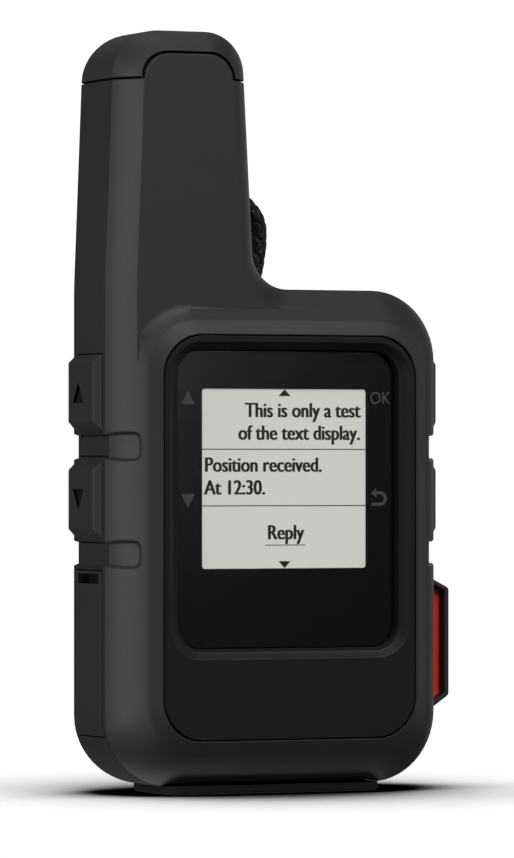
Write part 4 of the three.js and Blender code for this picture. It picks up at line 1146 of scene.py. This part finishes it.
def stage_material(name, shaded):
    """Pale and evenly lit. On the floor a painted shadow darkens it softly where something stands
    close over it.
    """
    mat = bpy.data.materials.new(name)
    mat.use_nodes = True
    nodes, links = mat.node_tree.nodes, mat.node_tree.links
    shader = nodes["Principled BSDF"]
    shader.inputs["Base Color"].default_value = (0, 0, 0, 1)
    shader.inputs["Roughness"].default_value = 1
    shader.inputs["Specular IOR Level"].default_value = 0
    shader.inputs["Emission Color"].default_value = (1, 1, 1, 1)
    shader.inputs["Emission Strength"].default_value = STAGE_GLOW
    if shaded:
        # Ambient occlusion dims the floor's glow: a painted contact shadow.
        painted_shadow_cover = nodes.new("ShaderNodeAmbientOcclusion")
        painted_shadow_cover.samples = 24
        painted_shadow_cover.inputs["Distance"].default_value = SHADE_REACH
        tone = nodes.new("ShaderNodeMapRange")
        tone.inputs["From Min"].default_value, tone.inputs["From Max"].default_value = OPEN_SKY
        tone.inputs["To Max"].default_value = STAGE_GLOW
        tone.interpolation_type = "SMOOTHSTEP"
        links.new(painted_shadow_cover.outputs["AO"], tone.inputs["Value"])
        links.new(tone.outputs["Result"], shader.inputs["Emission Strength"])
    return mat


def make_stage():
    """A pale floor and a pale round backdrop."""
    bpy.ops.mesh.primitive_circle_add(radius=FLOOR_RADIUS, vertices=96, fill_type="NGON")
    floor = bpy.context.object
    floor.name = "floor"
    floor.data.materials.append(stage_material("floor_pale_painted_shadow", True))
    bpy.ops.mesh.primitive_uv_sphere_add(radius=BACKDROP_RADIUS, segments=64, ring_count=32)
    dome = bpy.context.object
    dome.name = "backdrop"
    dome.data.materials.append(stage_material("backdrop_pale", False))
    for thing in (floor, dome):
        thing.visible_glossy = False
        thing.visible_diffuse = False
        thing.visible_shadow = False
        thing.visible_transmission = False


def area_light(name, place, target, width, height, power):
    data = bpy.data.lights.new(name, "AREA")
    data.shape = "RECTANGLE"
    data.size, data.size_y = width, height
    data.energy = power
    light = bpy.data.objects.new(name, data)
    light.location = place
    light.rotation_euler = (Vector(target) - Vector(place)).to_track_quat("-Z", "Y").to_euler()
    bpy.context.scene.collection.objects.link(light)


SOFTBOXES = {  # place in metres, width, height, power in watts
    "left_softbox": ((-0.75, -0.05, 0.12), 0.4, 0.7, 2.8),
    "low_left_softbox": ((-0.6, -0.35, -0.25), 0.4, 0.3, 0.7),
    "high_left_softbox": ((-0.5, -0.3, 0.6), 0.4, 0.4, 0.7),
    "top_softbox": ((0, 0.05, 0.8), 0.7, 0.7, 1.15),
    "rear_softbox": ((0.1, 0.6, 0.6), 0.6, 0.4, 0.2),
    "right_rear_softbox": ((0.5, 0.55, 0.1), 0.3, 0.5, 0.3),
    "right_softbox": ((0.75, -0.1, 0.1), 0.4, 0.7, 0.65),
    "front_softbox": ((0.2, -0.8, 0.7), 0.5, 0.5, 5.1),
    "left_rear_softbox": ((-0.55, 0.55, 0.2), 0.3, 0.6, 0.14),
    "lens_softbox": ((0.21, -0.74, 0.125), 0.11, 0.11, 0.2),
    "under_softbox": ((0, 0.3, -0.6), 0.6, 0.4, 1.2),
}


def make_lights():
    for name, (place, width, height, power) in SOFTBOXES.items():
        area_light(name, place, LIGHT_TARGET, width, height, power)
    world = bpy.data.worlds.new("studio")
    bpy.context.scene.world = world
    world.use_nodes = True
    sky = world.node_tree.nodes["Background"]
    sky.inputs["Color"].default_value = (1, 1, 1, 1)
    sky.inputs["Strength"].default_value = SKY_STRENGTH
    bpy.context.scene.view_settings.view_transform = "Standard"


make_stage()
make_lights()
